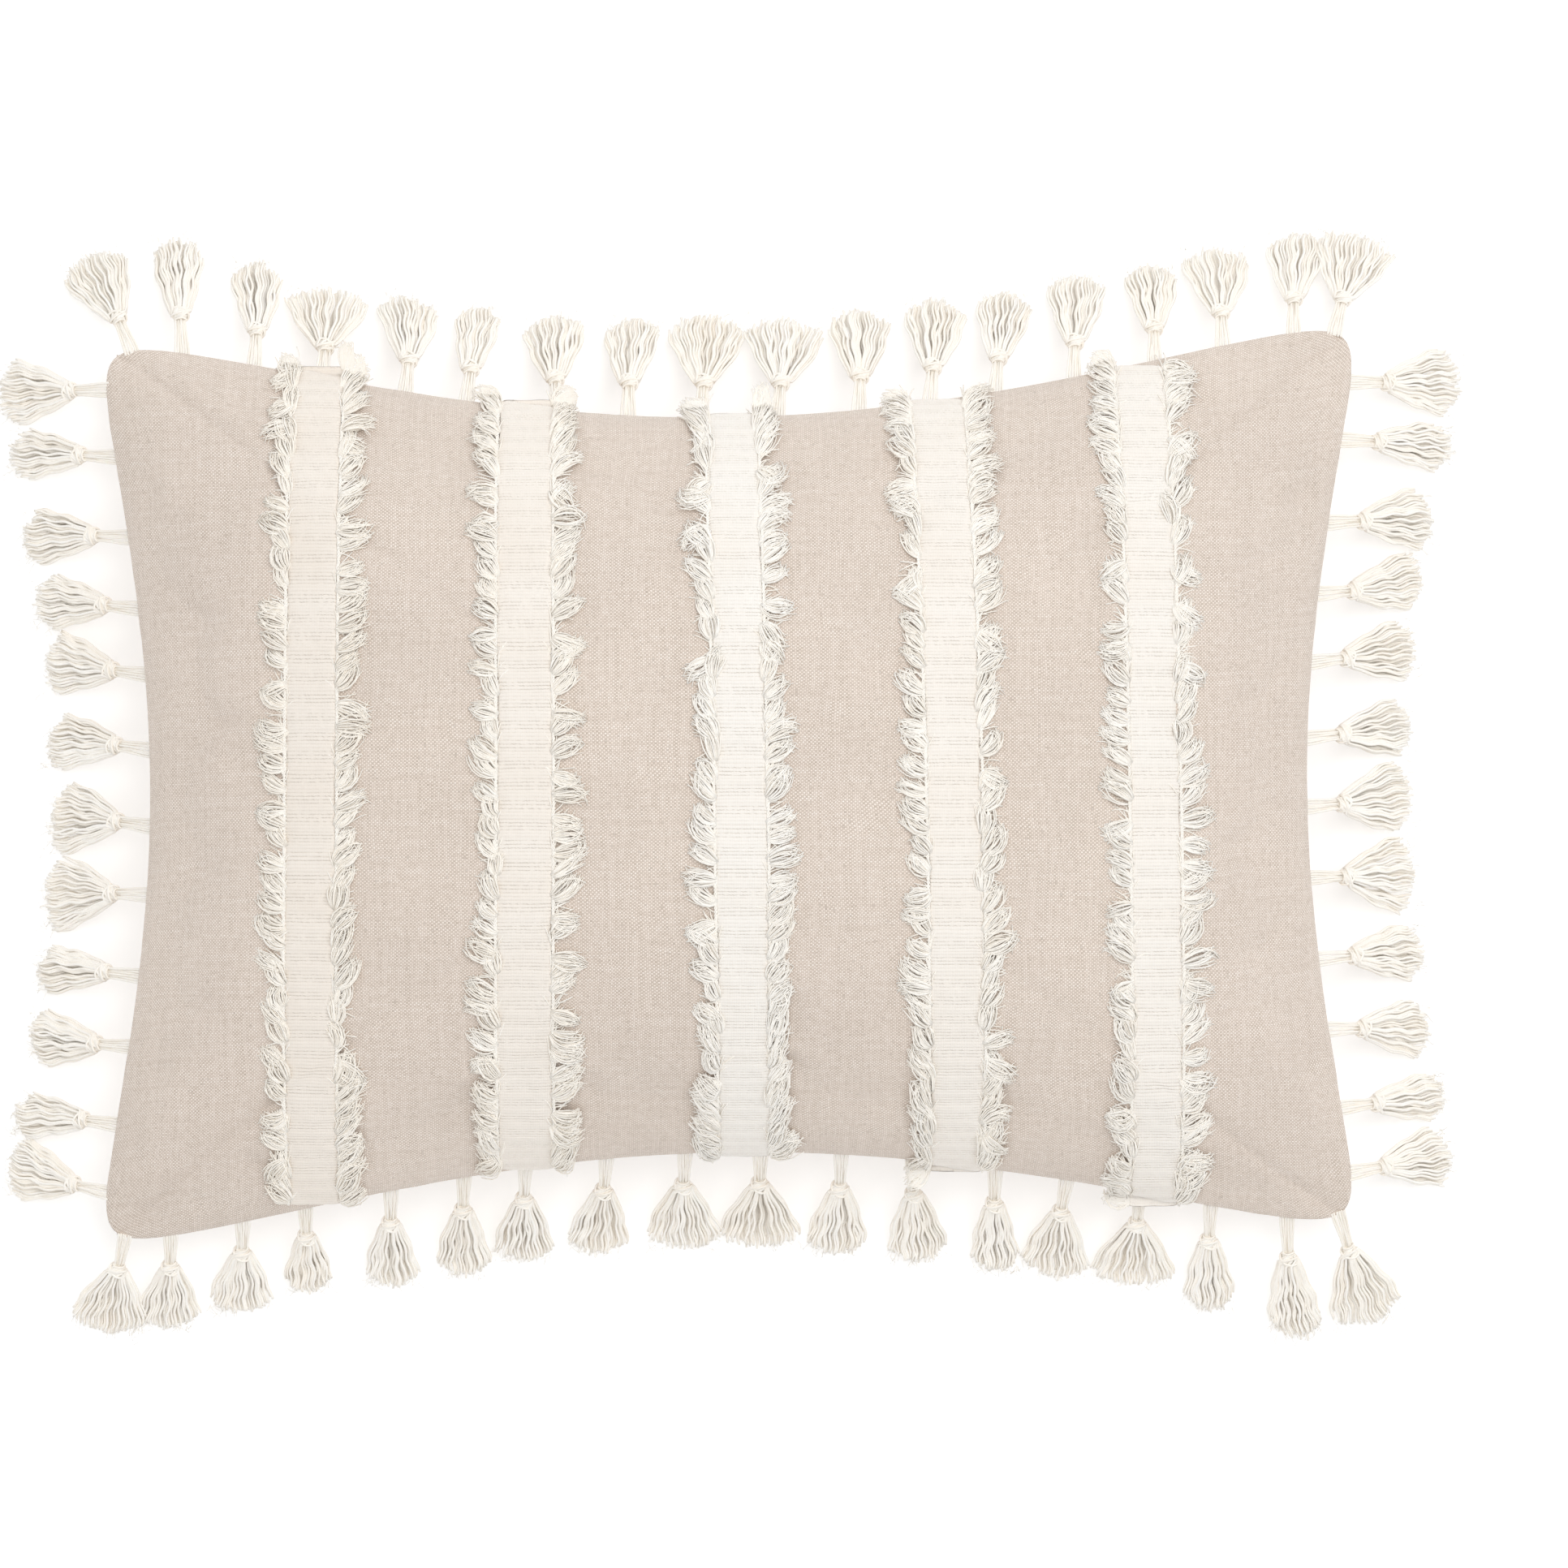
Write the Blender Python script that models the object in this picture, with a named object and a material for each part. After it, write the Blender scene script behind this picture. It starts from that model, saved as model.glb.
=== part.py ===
"""Lumbar throw pillow with woven tapes and tassels, lying face up on its flat rest face.

Frame: +X along the long side, +Y along the short side, +Z out of the front.
The origin is the centre of the rest face. Lengths are metres, angles are degrees.
A place on the pillow is (u, v): -1 to 1 from seam to seam along X and along Y.
"""
import math

import bpy
import numpy as np
from mathutils import Matrix, Vector

MM = 0.001

# Cover outline: straight-sided size at the corners, and how far the filled sides bow in.
HALF_WIDTH = 254 * MM
HALF_HEIGHT = 181.5 * MM
BOW_OF_SHORT_SIDES = 17.5 * MM
BOW_OF_LONG_SIDES = 30 * MM
BOW_POWER = 1.5
CORNER_POWER = 60

# Filled shape: height of the seam above the rest face, and the crown on each side of it.
SEAM_HEIGHT = 38 * MM
SEAM_DROP_AT_CORNERS = 14 * MM
CROWN_UP = 77 * MM
CROWN_DOWN = 70 * MM
DOME_POWER = 2.4
DOME_ROOT = 0.62

# Layers, as depths below the outside of the cover.
COVER_THICKNESS = 1.2 * MM
INSERT_DEPTH = 2.7 * MM
CASING_THICKNESS = 0.8 * MM
FILL_DEPTH = 4.0 * MM
HALF_SEAM_GAP = 0.2 * MM

# Back opening: the zipper line, the slot between the two hemmed edges, and the groove over it.
ZIP_Y = -75 * MM
HALF_SLOT = 4.5 * MM
HEM_THICKNESS = 3.6 * MM
SLOT_END_U = 0.70
HEM_END_U = 0.74
GROOVE_END_U = 0.80
HEM_END_Y = 20 * MM
GROOVE_END_Y = 28 * MM
GROOVE_HEIGHT = 8 * MM

# Zipper, with heights above the rest face.
CHAIN_HALF_LENGTH = 156 * MM
TAPE_HALF_LENGTH = 174 * MM
TAPE_Y = (2.95 * MM, 13 * MM)
TAPE_Z = (4.1 * MM, 4.7 * MM)
COIL_Y = 1.6 * MM
COIL_Z = 5.1 * MM
COIL_RADIUS = 1.05 * MM
COIL_SIDES = 8
STOP_LENGTH = 3 * MM
STOP_GAP = 0.4 * MM
SLIDER_X = 148 * MM
SLIDER_SIZE = (12 * MM, 7.2 * MM)
OUTER_PLATE_Z = (2.9 * MM, 3.7 * MM)
INNER_PLATE_Z = (6.5 * MM, 7.3 * MM)
POST_SIZE = (3 * MM, 0.4 * MM)
BRIDGE_BAR_Z = (0.3 * MM, 1.1 * MM)
BRIDGE_HALF_LENGTH = 3.9 * MM
BRIDGE_LEG = 0.8 * MM
BRIDGE_HALF_WIDTH = 0.9 * MM
PULL_HINGE = (SLIDER_X + 0.5 * MM, ZIP_Y, 1.9 * MM)
PULL_THICKNESS = 0.8 * MM
PULL_HALF_WIDTH = 2.3 * MM
PULL_LENGTH = 22 * MM
PULL_EYE_HALF_WIDTH = 1.3 * MM
PULL_EYE_LENGTH = 5 * MM
PULL_BAR = 1.0 * MM

# Woven tapes on the front, seam to seam, with their fringes.
STRIPE_X = (-167 * MM, -81 * MM, 4.5 * MM, 89.5 * MM, 170.5 * MM)
STRIPE_WIDTH = 40 * MM
STRIPE_UNDERSIDE = 1.2 * MM
STRIPE_TOP = 2.4 * MM
STRIPE_END_V = 0.995
STRIPE_SLOPE_STEPS = 7
STRIPE_FLAT_STEPS = 12
STRIPE_SLOPE_V = 0.80

# Tassels: even pitch along each side but for the last at each end of a long side, which stands
# closer to its neighbour. They hang in groups of three on one header thread.
LONG_SIDE_REACH_X = 247 * MM
SHORT_SIDE_REACH_Y = 164 * MM
LONG_SIDE_END_PITCH = 22 * MM
SHORT_SIDE_END_PITCH = 29.8 * MM
TASSELS_PER_GROUP = 3
HEADER_OFFSET = 2.0 * MM
HEADER_RADIUS = 0.8 * MM
HEADER_OVERHANG = 3 * MM
TASSEL_REACH = 40 * MM
TASSEL_TIP_Z = 2.8 * MM
TASSEL_DROOP_POWER = 1.6
TASSEL_SIDES = 6
# Along a tassel: (fraction of the reach, half width, half thickness) at stem, knot and skirt.
TASSEL_STATIONS = (
    (0.00, 1.5 * MM, 1.5 * MM), (0.25, 1.5 * MM, 1.5 * MM), (0.34, 4.2 * MM, 3.6 * MM),
    (0.44, 3.2 * MM, 3.0 * MM), (0.68, 7.2 * MM, 2.8 * MM), (1.00, 9.4 * MM, 2.4 * MM))
# Lean of each tassel in its side, towards +X on the long sides and towards +Y on the short ones.
TOP_LEANS = (-18, -4, 4, 4, 7, 6, -5, 0, 3, 5, 3, 6, 4, 1, 0, -2, -1, 7)
BOTTOM_LEANS = (-6, 0, 0, 2, -1, -2, -2, -3, -3, -1, -2, 2, -3, -11, -4, -3, 1, 7)
LEFT_LEANS = (-1, 2, 4, 5, 6, 10, 9, 0, 5, 2, 6, 10)
RIGHT_LEANS = (0, -2, 4, 3, 7, 7, 5, 2, 5, 3, 6, 9)


def tassel_places(reach, end_pitch, count):
    """Places along a side: the outermost two at the reach, the rest evenly between."""
    inner = np.linspace(end_pitch - reach, reach - end_pitch, count - 2)
    return np.concatenate([[-reach], inner, [reach]])


LONG_PLACES = tassel_places(LONG_SIDE_REACH_X, LONG_SIDE_END_PITCH, len(TOP_LEANS))
# The short sides' groups count from the top down.
SHORT_PLACES = tassel_places(SHORT_SIDE_REACH_Y, SHORT_SIDE_END_PITCH, len(LEFT_LEANS))[::-1]

# Grid lines of every fabric layer. Rows are a v, or a y where they run along the zipper.
COLUMNS_HALF = (0.25, 0.5, SLOT_END_U, HEM_END_U, GROOVE_END_U, 0.87, 0.94, 0.98, 1.0)
COLUMNS = tuple(-u for u in reversed(COLUMNS_HALF)) + (0.0,) + COLUMNS_HALF
ROWS_BELOW_ZIP = (-1.0, -0.98, -0.93, -0.84)
ROWS_ABOVE_ZIP = (-0.03, 0.22, 0.46, 0.67, 0.84, 0.93, 0.98, 1.0)


def clear_scene():
    for obj in list(bpy.data.objects):
        bpy.data.objects.remove(obj, do_unlink=True)


def make_material(name, colour, roughness, metallic=0.0):
    material = bpy.data.materials.new(name)
    material.use_nodes = True
    shader = material.node_tree.nodes["Principled BSDF"]
    shader.inputs["Base Color"].default_value = (*colour, 1.0)
    shader.inputs["Roughness"].default_value = roughness
    shader.inputs["Metallic"].default_value = metallic
    material.diffuse_color = (*colour, 1.0)
    return material


def add_object(name, vertices, faces, material, origin=(0, 0, 0), smooth=True):
    """One mesh object, given in the pillow's frame and placed with its own origin."""
    origin = Vector(origin)
    mesh = bpy.data.meshes.new(name)
    mesh.from_pydata([Vector(point) - origin for point in vertices], [], faces)
    mesh.materials.append(material)
    if smooth:
        mesh.shade_smooth()
        mesh.set_sharp_from_angle(angle=math.radians(40))
    obj = bpy.data.objects.new(name, mesh)
    obj.location = origin
    bpy.context.scene.collection.objects.link(obj)
    return obj


# The filled shape.

def bow(t):
    return (1 - min(t * t, 1.0)) ** BOW_POWER


def dome(t):
    return max(0.0, 1 - abs(t) ** DOME_POWER) ** DOME_ROOT


def half_height_at(u):
    return HALF_HEIGHT - BOW_OF_LONG_SIDES * bow(u)


def half_width_at(v):
    return HALF_WIDTH - BOW_OF_SHORT_SIDES * bow(v)


def plan_point(u, v, depth):
    """The place in plan of (u, v) on the layer at this depth inside the cover's outside."""
    reach = max(abs(u), abs(v))
    rounding = 1.0
    if reach > 0:
        square = (abs(u) / reach) ** CORNER_POWER + (abs(v) / reach) ** CORNER_POWER
        rounding = square ** (-1 / CORNER_POWER)
    x = u * rounding * half_width_at(v) * (1 - depth / HALF_WIDTH)
    y = v * rounding * half_height_at(u) * (1 - depth / HALF_HEIGHT)
    return x, y


def seam_height(u, v):
    return SEAM_HEIGHT - SEAM_DROP_AT_CORNERS * (u * v) ** 2


def front_height(u, v, depth, rim_gap):
    return seam_height(u, v) + rim_gap + (CROWN_UP - depth) * dome(u) * dome(v)


def back_height(u, v, depth, rim_gap):
    hanging = seam_height(u, v) - rim_gap - (CROWN_DOWN - depth) * dome(u) * dome(v)
    return max(depth, hanging)


def row_v(row, u):
    """v of a grid row: a row is a plain v, or ("y", a function giving the row's y at u)."""
    if isinstance(row, tuple):
        return row[1](u) / half_height_at(u)
    return row


def layer(rows, depth, height):
    """Points of one fabric layer: a list of columns, each a list of points from the bottom up."""
    columns = []
    for u in COLUMNS:
        column = []
        for row in rows:
            v = row_v(row, u)
            x, y = plan_point(u, v, depth)
            column.append((x, y, height(u, v, y)))
        columns.append(column)
    return columns


def closed_mesh(upper, lower):
    """Triangles of the closed solid between two layers with the same grid, faces outwards."""
    n_columns, n_rows = len(upper), len(upper[0])
    vertices = [point for grid in (upper, lower) for column in grid for point in column]
    base = n_columns * n_rows

    def index(i, j, side):
        return side * base + i * n_rows + j

    faces = []
    for i in range(n_columns - 1):
        for j in range(n_rows - 1):
            # Diagonals mirror about the pillow's centre, alike in every layer.
            middle_x = upper[i][j][0] + upper[i + 1][j][0]
            middle_y = upper[i][j][1] + upper[i][j + 1][1]
            rising = (middle_x < 0) == (middle_y < 0)
            for side in (0, 1):
                a, b = index(i, j, side), index(i + 1, j, side)
                c, d = index(i + 1, j + 1, side), index(i, j + 1, side)
                pair = [(a, b, c), (a, c, d)] if rising else [(a, b, d), (b, c, d)]
                faces += pair if side == 0 else [face[::-1] for face in pair]
    border = [(i, 0) for i in range(n_columns)]
    border += [(n_columns - 1, j) for j in range(1, n_rows)]
    border += [(i, n_rows - 1) for i in reversed(range(n_columns - 1))]
    border += [(0, j) for j in reversed(range(1, n_rows - 1))]
    for (i, j), (k, m) in zip(border, border[1:] + border[:1]):
        a, b, c, d = index(i, j, 1), index(k, m, 1), index(k, m, 0), index(i, j, 0)
        faces += [(a, b, c), (a, c, d)]
    return vertices, faces


# Cover, insert and filling.

def slot_half_width(u):
    taper = (HEM_END_U - abs(u)) / (HEM_END_U - SLOT_END_U)
    return HALF_SEAM_GAP + (HALF_SLOT - HALF_SEAM_GAP) * min(1.0, max(0.0, taper))


def zip_row(distance):
    """A row at a signed distance from the zipper line."""
    return ("y", lambda u: ZIP_Y + distance)


def slot_row(side):
    """The row along the slot's edge above (+1) or below (-1) the zipper."""
    return ("y", lambda u: ZIP_Y + side * slot_half_width(u))


def groove_height(u, y):
    """Underside height that leaves room for the zipper, nought away from it."""
    across = (GROOVE_END_Y - abs(y - ZIP_Y)) / (GROOVE_END_Y - HEM_END_Y)
    along = (GROOVE_END_U - abs(u)) / (GROOVE_END_U - HEM_END_U)
    return GROOVE_HEIGHT * min(1.0, max(0.0, min(across, along)))


def rows_below():
    return list(ROWS_BELOW_ZIP) + [zip_row(-GROOVE_END_Y), zip_row(-HEM_END_Y)]


def rows_above():
    return [zip_row(HEM_END_Y), zip_row(GROOVE_END_Y)] + list(ROWS_ABOVE_ZIP)


def front_shell(depth, thickness):
    rows = rows_below() + rows_above()
    outside = layer(rows, depth, lambda u, v, y: front_height(u, v, depth, HALF_SEAM_GAP))
    inner = depth + thickness
    inside = layer(rows, inner, lambda u, v, y: front_height(u, v, inner, HALF_SEAM_GAP))
    return closed_mesh(outside, inside)


def insert_underside(depth):
    """Height of an insert layer's underside, raised over the zipper."""
    def height(u, v, y):
        raised = groove_height(u, y)
        step = depth - INSERT_DEPTH if raised > 0 else 0.0
        return max(back_height(u, v, depth, HALF_SEAM_GAP), raised + step)
    return height


def casing_back_shell():
    rows = rows_below() + rows_above()
    inner = INSERT_DEPTH + CASING_THICKNESS
    inside = layer(rows, inner, insert_underside(inner))
    outside = layer(rows, INSERT_DEPTH, insert_underside(INSERT_DEPTH))
    return closed_mesh(inside, outside)


def fill_solid():
    rows = rows_below() + rows_above()
    top = layer(rows, FILL_DEPTH, lambda u, v, y: front_height(u, v, FILL_DEPTH, HALF_SEAM_GAP))
    bottom = layer(rows, FILL_DEPTH, insert_underside(FILL_DEPTH))
    return closed_mesh(top, bottom)


def back_panel(side):
    """Back of the cover on one side (+1 above, -1 below) of the zipper, with its folded hem."""
    rows = [slot_row(1)] + rows_above() if side > 0 else rows_below() + [slot_row(-1)]
    hem_limit = (HEM_END_Y + GROOVE_END_Y) / 2

    def inner_height(u, v, y):
        plain = back_height(u, v, COVER_THICKNESS, HALF_SEAM_GAP)
        in_hem = abs(y - ZIP_Y) < hem_limit and abs(u) <= SLOT_END_U
        return max(plain, HEM_THICKNESS) if in_hem else plain

    outside = layer(rows, 0.0, lambda u, v, y: back_height(u, v, 0.0, HALF_SEAM_GAP))
    inside = layer(rows, COVER_THICKNESS, inner_height)
    return closed_mesh(inside, outside)


def make_cover(linen):
    add_object("cover_front", *front_shell(0.0, COVER_THICKNESS), linen)
    add_object("cover_back_upper", *back_panel(1), linen)
    add_object("cover_back_lower", *back_panel(-1), linen)


def make_insert(casing, filling):
    add_object("insert_casing_front", *front_shell(INSERT_DEPTH, CASING_THICKNESS), casing)
    add_object("insert_casing_back", *casing_back_shell(), casing)
    add_object("insert_fill", *fill_solid(), filling)


# Woven tapes.

def stripe_rows():
    slope = np.linspace(STRIPE_END_V, STRIPE_SLOPE_V, STRIPE_SLOPE_STEPS + 1)[:-1]
    flat = np.linspace(-STRIPE_SLOPE_V, STRIPE_SLOPE_V, STRIPE_FLAT_STEPS + 1)
    return [-v for v in slope] + list(flat) + [v for v in reversed(slope)]


def stripe_layer(centre_x, lift):
    columns = []
    for across in (-0.5, 0.0, 0.5):
        column = []
        for v in stripe_rows():
            u = (centre_x + across * STRIPE_WIDTH) / half_width_at(v)
            x, y = plan_point(u, v, -lift)
            column.append((x, y, front_height(u, v, -lift, HALF_SEAM_GAP)))
        columns.append(column)
    return columns


def make_stripes(cotton):
    for number, centre_x in enumerate(STRIPE_X, start=1):
        top = stripe_layer(centre_x, STRIPE_TOP)
        underside = stripe_layer(centre_x, STRIPE_UNDERSIDE)
        add_object(f"stripe_{number}", *closed_mesh(top, underside), cotton)


# Zipper.

def box(x_range, y_range, z_range):
    corners = [(x, y, z) for x in x_range for y in y_range for z in z_range]
    faces = [(0, 1, 3, 2), (4, 6, 7, 5), (0, 4, 5, 1), (2, 3, 7, 6), (0, 2, 6, 4), (1, 5, 7, 3)]
    return corners, faces


def rod_between(start, end, radius, sides):
    """A closed straight rod."""
    start, end = Vector(start), Vector(end)
    turn = (end - start).to_track_quat("Z", "Y").to_matrix()
    ring = [turn @ Vector((radius * math.cos(a), radius * math.sin(a), 0.0))
            for a in (2 * math.pi * k / sides for k in range(sides))]
    vertices = [start + p for p in ring] + [end + p for p in ring]
    faces = [(k, (k + 1) % sides, sides + (k + 1) % sides, sides + k) for k in range(sides)]
    faces += [tuple(reversed(range(sides))), tuple(range(sides, 2 * sides))]
    return vertices, faces


def add_union(obj, tools):
    """Fuse closed tool objects into obj with Boolean modifiers, and hide the tools."""
    for tool in tools:
        modifier = obj.modifiers.new(f"join {tool.name}", "BOOLEAN")
        modifier.operation = "UNION"
        modifier.object = tool
        tool.hide_render = True
        tool.display_type = "WIRE"


def make_zipper_chain(webbing, nylon, metal):
    for name, side in (("upper", 1), ("lower", -1)):
        near, far = (ZIP_Y + side * d for d in TAPE_Y)
        tape_y = (min(near, far), max(near, far))
        add_object(f"zipper_tape_{name}", *box((-TAPE_HALF_LENGTH, TAPE_HALF_LENGTH), tape_y, TAPE_Z),
                   webbing, smooth=False)
        coil_y = ZIP_Y + side * COIL_Y
        ends = [(x, coil_y, COIL_Z) for x in (-CHAIN_HALF_LENGTH, CHAIN_HALF_LENGTH)]
        add_object(f"zipper_coil_{name}", *rod_between(*ends, COIL_RADIUS, COIL_SIDES), nylon)
    stop_start = CHAIN_HALF_LENGTH + STOP_GAP
    stop_y = (ZIP_Y - COIL_Y - COIL_RADIUS, ZIP_Y + COIL_Y + COIL_RADIUS)
    stop_z = (COIL_Z - COIL_RADIUS, COIL_Z + COIL_RADIUS)
    for name, end in (("top", 1), ("bottom", -1)):
        stop_x = sorted((end * stop_start, end * (stop_start + STOP_LENGTH)))
        add_object(f"zipper_stop_{name}", *box(stop_x, stop_y, stop_z), metal, smooth=False)


def make_zipper_slider(metal):
    length, width = SLIDER_SIZE
    plate_x = (SLIDER_X - length / 2, SLIDER_X + length / 2)
    plate_y = (ZIP_Y - width / 2, ZIP_Y + width / 2)
    bridge_x = (SLIDER_X - BRIDGE_HALF_LENGTH, SLIDER_X + BRIDGE_HALF_LENGTH)
    bridge_y = (ZIP_Y - BRIDGE_HALF_WIDTH, ZIP_Y + BRIDGE_HALF_WIDTH)
    # The post joins the two plates between the coils, at the slider's nose.
    post_x = (plate_x[1] - POST_SIZE[0], plate_x[1] - BRIDGE_LEG)
    post_y = (ZIP_Y - POST_SIZE[1] / 2, ZIP_Y + POST_SIZE[1] / 2)
    post_z = (sum(OUTER_PLATE_Z) / 2, sum(INNER_PLATE_Z) / 2)
    leg_z = (BRIDGE_BAR_Z[0], sum(OUTER_PLATE_Z) / 2)
    tool_boxes = {
        "inner_plate": box(plate_x, plate_y, INNER_PLATE_Z),
        "post": box(post_x, post_y, post_z),
        "bridge_bar": box(bridge_x, bridge_y, BRIDGE_BAR_Z),
        "leg_low": box((bridge_x[0], bridge_x[0] + BRIDGE_LEG), bridge_y, leg_z),
        "leg_high": box((bridge_x[1] - BRIDGE_LEG, bridge_x[1]), bridge_y, leg_z),
    }
    origin = (SLIDER_X, ZIP_Y, COIL_Z)
    slider = add_object("zipper_slider", *box(plate_x, plate_y, OUTER_PLATE_Z), metal, origin,
                        smooth=False)
    tools = [add_object(f"tool_{name}", *shape, metal, origin, smooth=False)
             for name, shape in tool_boxes.items()]
    add_union(slider, tools)


def make_zipper_pull(metal):
    """A flat tab with an eye round the slider's bridge, its origin on the eye's bar."""
    hinge_x, hinge_y, hinge_z = PULL_HINGE
    tab_x = (hinge_x - PULL_LENGTH, hinge_x + PULL_BAR / 2)
    tab_y = (hinge_y - PULL_HALF_WIDTH, hinge_y + PULL_HALF_WIDTH)
    tab_z = (hinge_z - PULL_THICKNESS / 2, hinge_z + PULL_THICKNESS / 2)
    pull = add_object("zipper_pull", *box(tab_x, tab_y, tab_z), metal, PULL_HINGE, smooth=False)
    eye_x = (hinge_x - PULL_BAR / 2 - PULL_EYE_LENGTH, hinge_x - PULL_BAR / 2)
    eye_y = (hinge_y - PULL_EYE_HALF_WIDTH, hinge_y + PULL_EYE_HALF_WIDTH)
    eye_z = (tab_z[0] - PULL_THICKNESS, tab_z[1] + PULL_THICKNESS)
    cutter = add_object("tool_pull_eye", *box(eye_x, eye_y, eye_z), metal, PULL_HINGE, smooth=False)
    cut = pull.modifiers.new("eye", "BOOLEAN")
    cut.operation = "DIFFERENCE"
    cut.object = cutter
    cutter.hide_render = True
    cutter.display_type = "WIRE"


# Tassels.

def side_sections():
    """Each side of the pillow: name, the seam's (u, v) along it, leans, outward and along."""
    def long_side(v):
        def seam(x):
            return x / half_width_at(v), v
        return seam

    def short_side(u):
        def seam(y):
            return u, y / half_height_at(u)
        return seam

    rightwards, upwards = Vector((1, 0, 0)), Vector((0, 1, 0))
    return (
        ("top", long_side(1.0), LONG_PLACES, TOP_LEANS, upwards, rightwards),
        ("bottom", long_side(-1.0), LONG_PLACES, BOTTOM_LEANS, -upwards, rightwards),
        ("left", short_side(-1.0), SHORT_PLACES, LEFT_LEANS, -rightwards, upwards),
        ("right", short_side(1.0), SHORT_PLACES, RIGHT_LEANS, rightwards, upwards),
    )


def tassel_groups():
    """Every group: its name, its roots on the header line, leans, outward and along."""
    groups = []
    for side, seam, places, leans, outward, along in side_sections():
        for start in range(0, len(leans), TASSELS_PER_GROUP):
            picked = range(start, start + TASSELS_PER_GROUP)
            roots = []
            for k in picked:
                u, v = seam(places[k])
                x, y = plan_point(u, v, 0.0)
                roots.append(Vector((x, y, seam_height(u, v))) + outward * HEADER_OFFSET)
            # The middle root moves onto the straight header line between the outer two.
            roots[1] = (roots[0] + roots[2]) / 2
            name = f"tassels_{side}_{start // TASSELS_PER_GROUP + 1}"
            groups.append((name, roots, [leans[k] for k in picked], outward, along))
    return groups


def tassel_mesh(root, lean, outward, along):
    """One tassel: stem, knot and skirt, drooping from its root to lie on the rest plane."""
    angle = math.radians(lean)
    heading = outward * math.cos(angle) + along * math.sin(angle)
    across = Vector((0, 0, 1)).cross(heading)
    drop = root.z - TASSEL_TIP_Z
    vertices = []
    for fraction, half_width, half_thickness in TASSEL_STATIONS:
        left = 1 - fraction
        centre = root + heading * TASSEL_REACH * fraction
        centre.z = TASSEL_TIP_Z + drop * left ** TASSEL_DROOP_POWER
        slope = drop * TASSEL_DROOP_POWER * left ** (TASSEL_DROOP_POWER - 1) / TASSEL_REACH
        normal = (heading * slope + Vector((0, 0, 1))).normalized()
        for k in range(TASSEL_SIDES):
            turn = 2 * math.pi * k / TASSEL_SIDES
            offset = across * half_width * math.cos(turn) + normal * half_thickness * math.sin(turn)
            vertices.append(centre + offset)
    faces = []
    for ring in range(len(TASSEL_STATIONS) - 1):
        for k in range(TASSEL_SIDES):
            a = ring * TASSEL_SIDES + k
            b = ring * TASSEL_SIDES + (k + 1) % TASSEL_SIDES
            faces.append((a, a + TASSEL_SIDES, b + TASSEL_SIDES, b))
    last = (len(TASSEL_STATIONS) - 1) * TASSEL_SIDES
    faces.append(tuple(range(TASSEL_SIDES)))
    faces.append(tuple(reversed(range(last, last + TASSEL_SIDES))))
    return vertices, faces


def make_tassels(cotton):
    for name, roots, leans, outward, along in tassel_groups():
        header = (roots[-1] - roots[0]).normalized() * HEADER_OVERHANG
        rod = rod_between(roots[0] - header, roots[-1] + header, HEADER_RADIUS, TASSEL_SIDES)
        group = add_object(name, *rod, cotton, roots[1])
        tools = [add_object(f"tool_{name}_{k}", *tassel_mesh(root, lean, outward, along), cotton,
                            roots[1])
                 for k, (root, lean) in enumerate(zip(roots, leans), start=1)]
        add_union(group, tools)


def main():
    clear_scene()
    linen = make_material("linen", (0.68, 0.60, 0.52), 0.85)
    cotton = make_material("cotton", (0.88, 0.84, 0.77), 0.8)
    casing = make_material("casing", (0.86, 0.86, 0.84), 0.8)
    filling = make_material("filling", (0.92, 0.92, 0.9), 0.95)
    webbing = make_material("zipper_webbing", (0.72, 0.65, 0.57), 0.8)
    nylon = make_material("zipper_nylon", (0.74, 0.68, 0.60), 0.45)
    metal = make_material("zipper_metal", (0.62, 0.6, 0.56), 0.3, 1.0)
    make_cover(linen)
    make_insert(casing, filling)
    make_stripes(cotton)
    make_zipper_chain(webbing, nylon, metal)
    make_zipper_slider(metal)
    make_zipper_pull(metal)
    make_tassels(cotton)


main()
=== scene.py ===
"""Looks of the lumbar throw pillow: linen cover, woven tapes, fringes, tassels, zipper and insert."""
import math

import bpy
import numpy as np
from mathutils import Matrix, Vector


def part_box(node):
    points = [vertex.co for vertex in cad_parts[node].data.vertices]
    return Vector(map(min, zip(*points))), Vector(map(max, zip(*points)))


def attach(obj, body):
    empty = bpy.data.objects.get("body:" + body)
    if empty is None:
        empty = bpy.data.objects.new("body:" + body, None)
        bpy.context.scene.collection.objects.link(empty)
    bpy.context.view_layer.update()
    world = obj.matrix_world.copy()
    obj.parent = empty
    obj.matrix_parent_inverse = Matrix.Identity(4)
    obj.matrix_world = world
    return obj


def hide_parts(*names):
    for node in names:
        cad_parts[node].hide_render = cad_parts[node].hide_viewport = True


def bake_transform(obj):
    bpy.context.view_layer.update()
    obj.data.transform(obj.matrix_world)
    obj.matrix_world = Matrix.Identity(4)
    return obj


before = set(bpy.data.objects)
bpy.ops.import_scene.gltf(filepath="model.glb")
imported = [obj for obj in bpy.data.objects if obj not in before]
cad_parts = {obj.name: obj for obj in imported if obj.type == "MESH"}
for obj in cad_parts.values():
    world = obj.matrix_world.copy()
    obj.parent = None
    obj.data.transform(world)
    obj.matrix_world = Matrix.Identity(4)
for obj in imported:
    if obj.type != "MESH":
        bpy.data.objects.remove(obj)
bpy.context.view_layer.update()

MM = 0.001
ROOT = "pillow"

# ==== Sizes read from the frame ====

def node_points(name):
    return np.array([v.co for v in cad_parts[name].data.vertices])


FRONT_POINTS = node_points("cover_front")
NEAR_MIDDLE = 10 * MM
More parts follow.
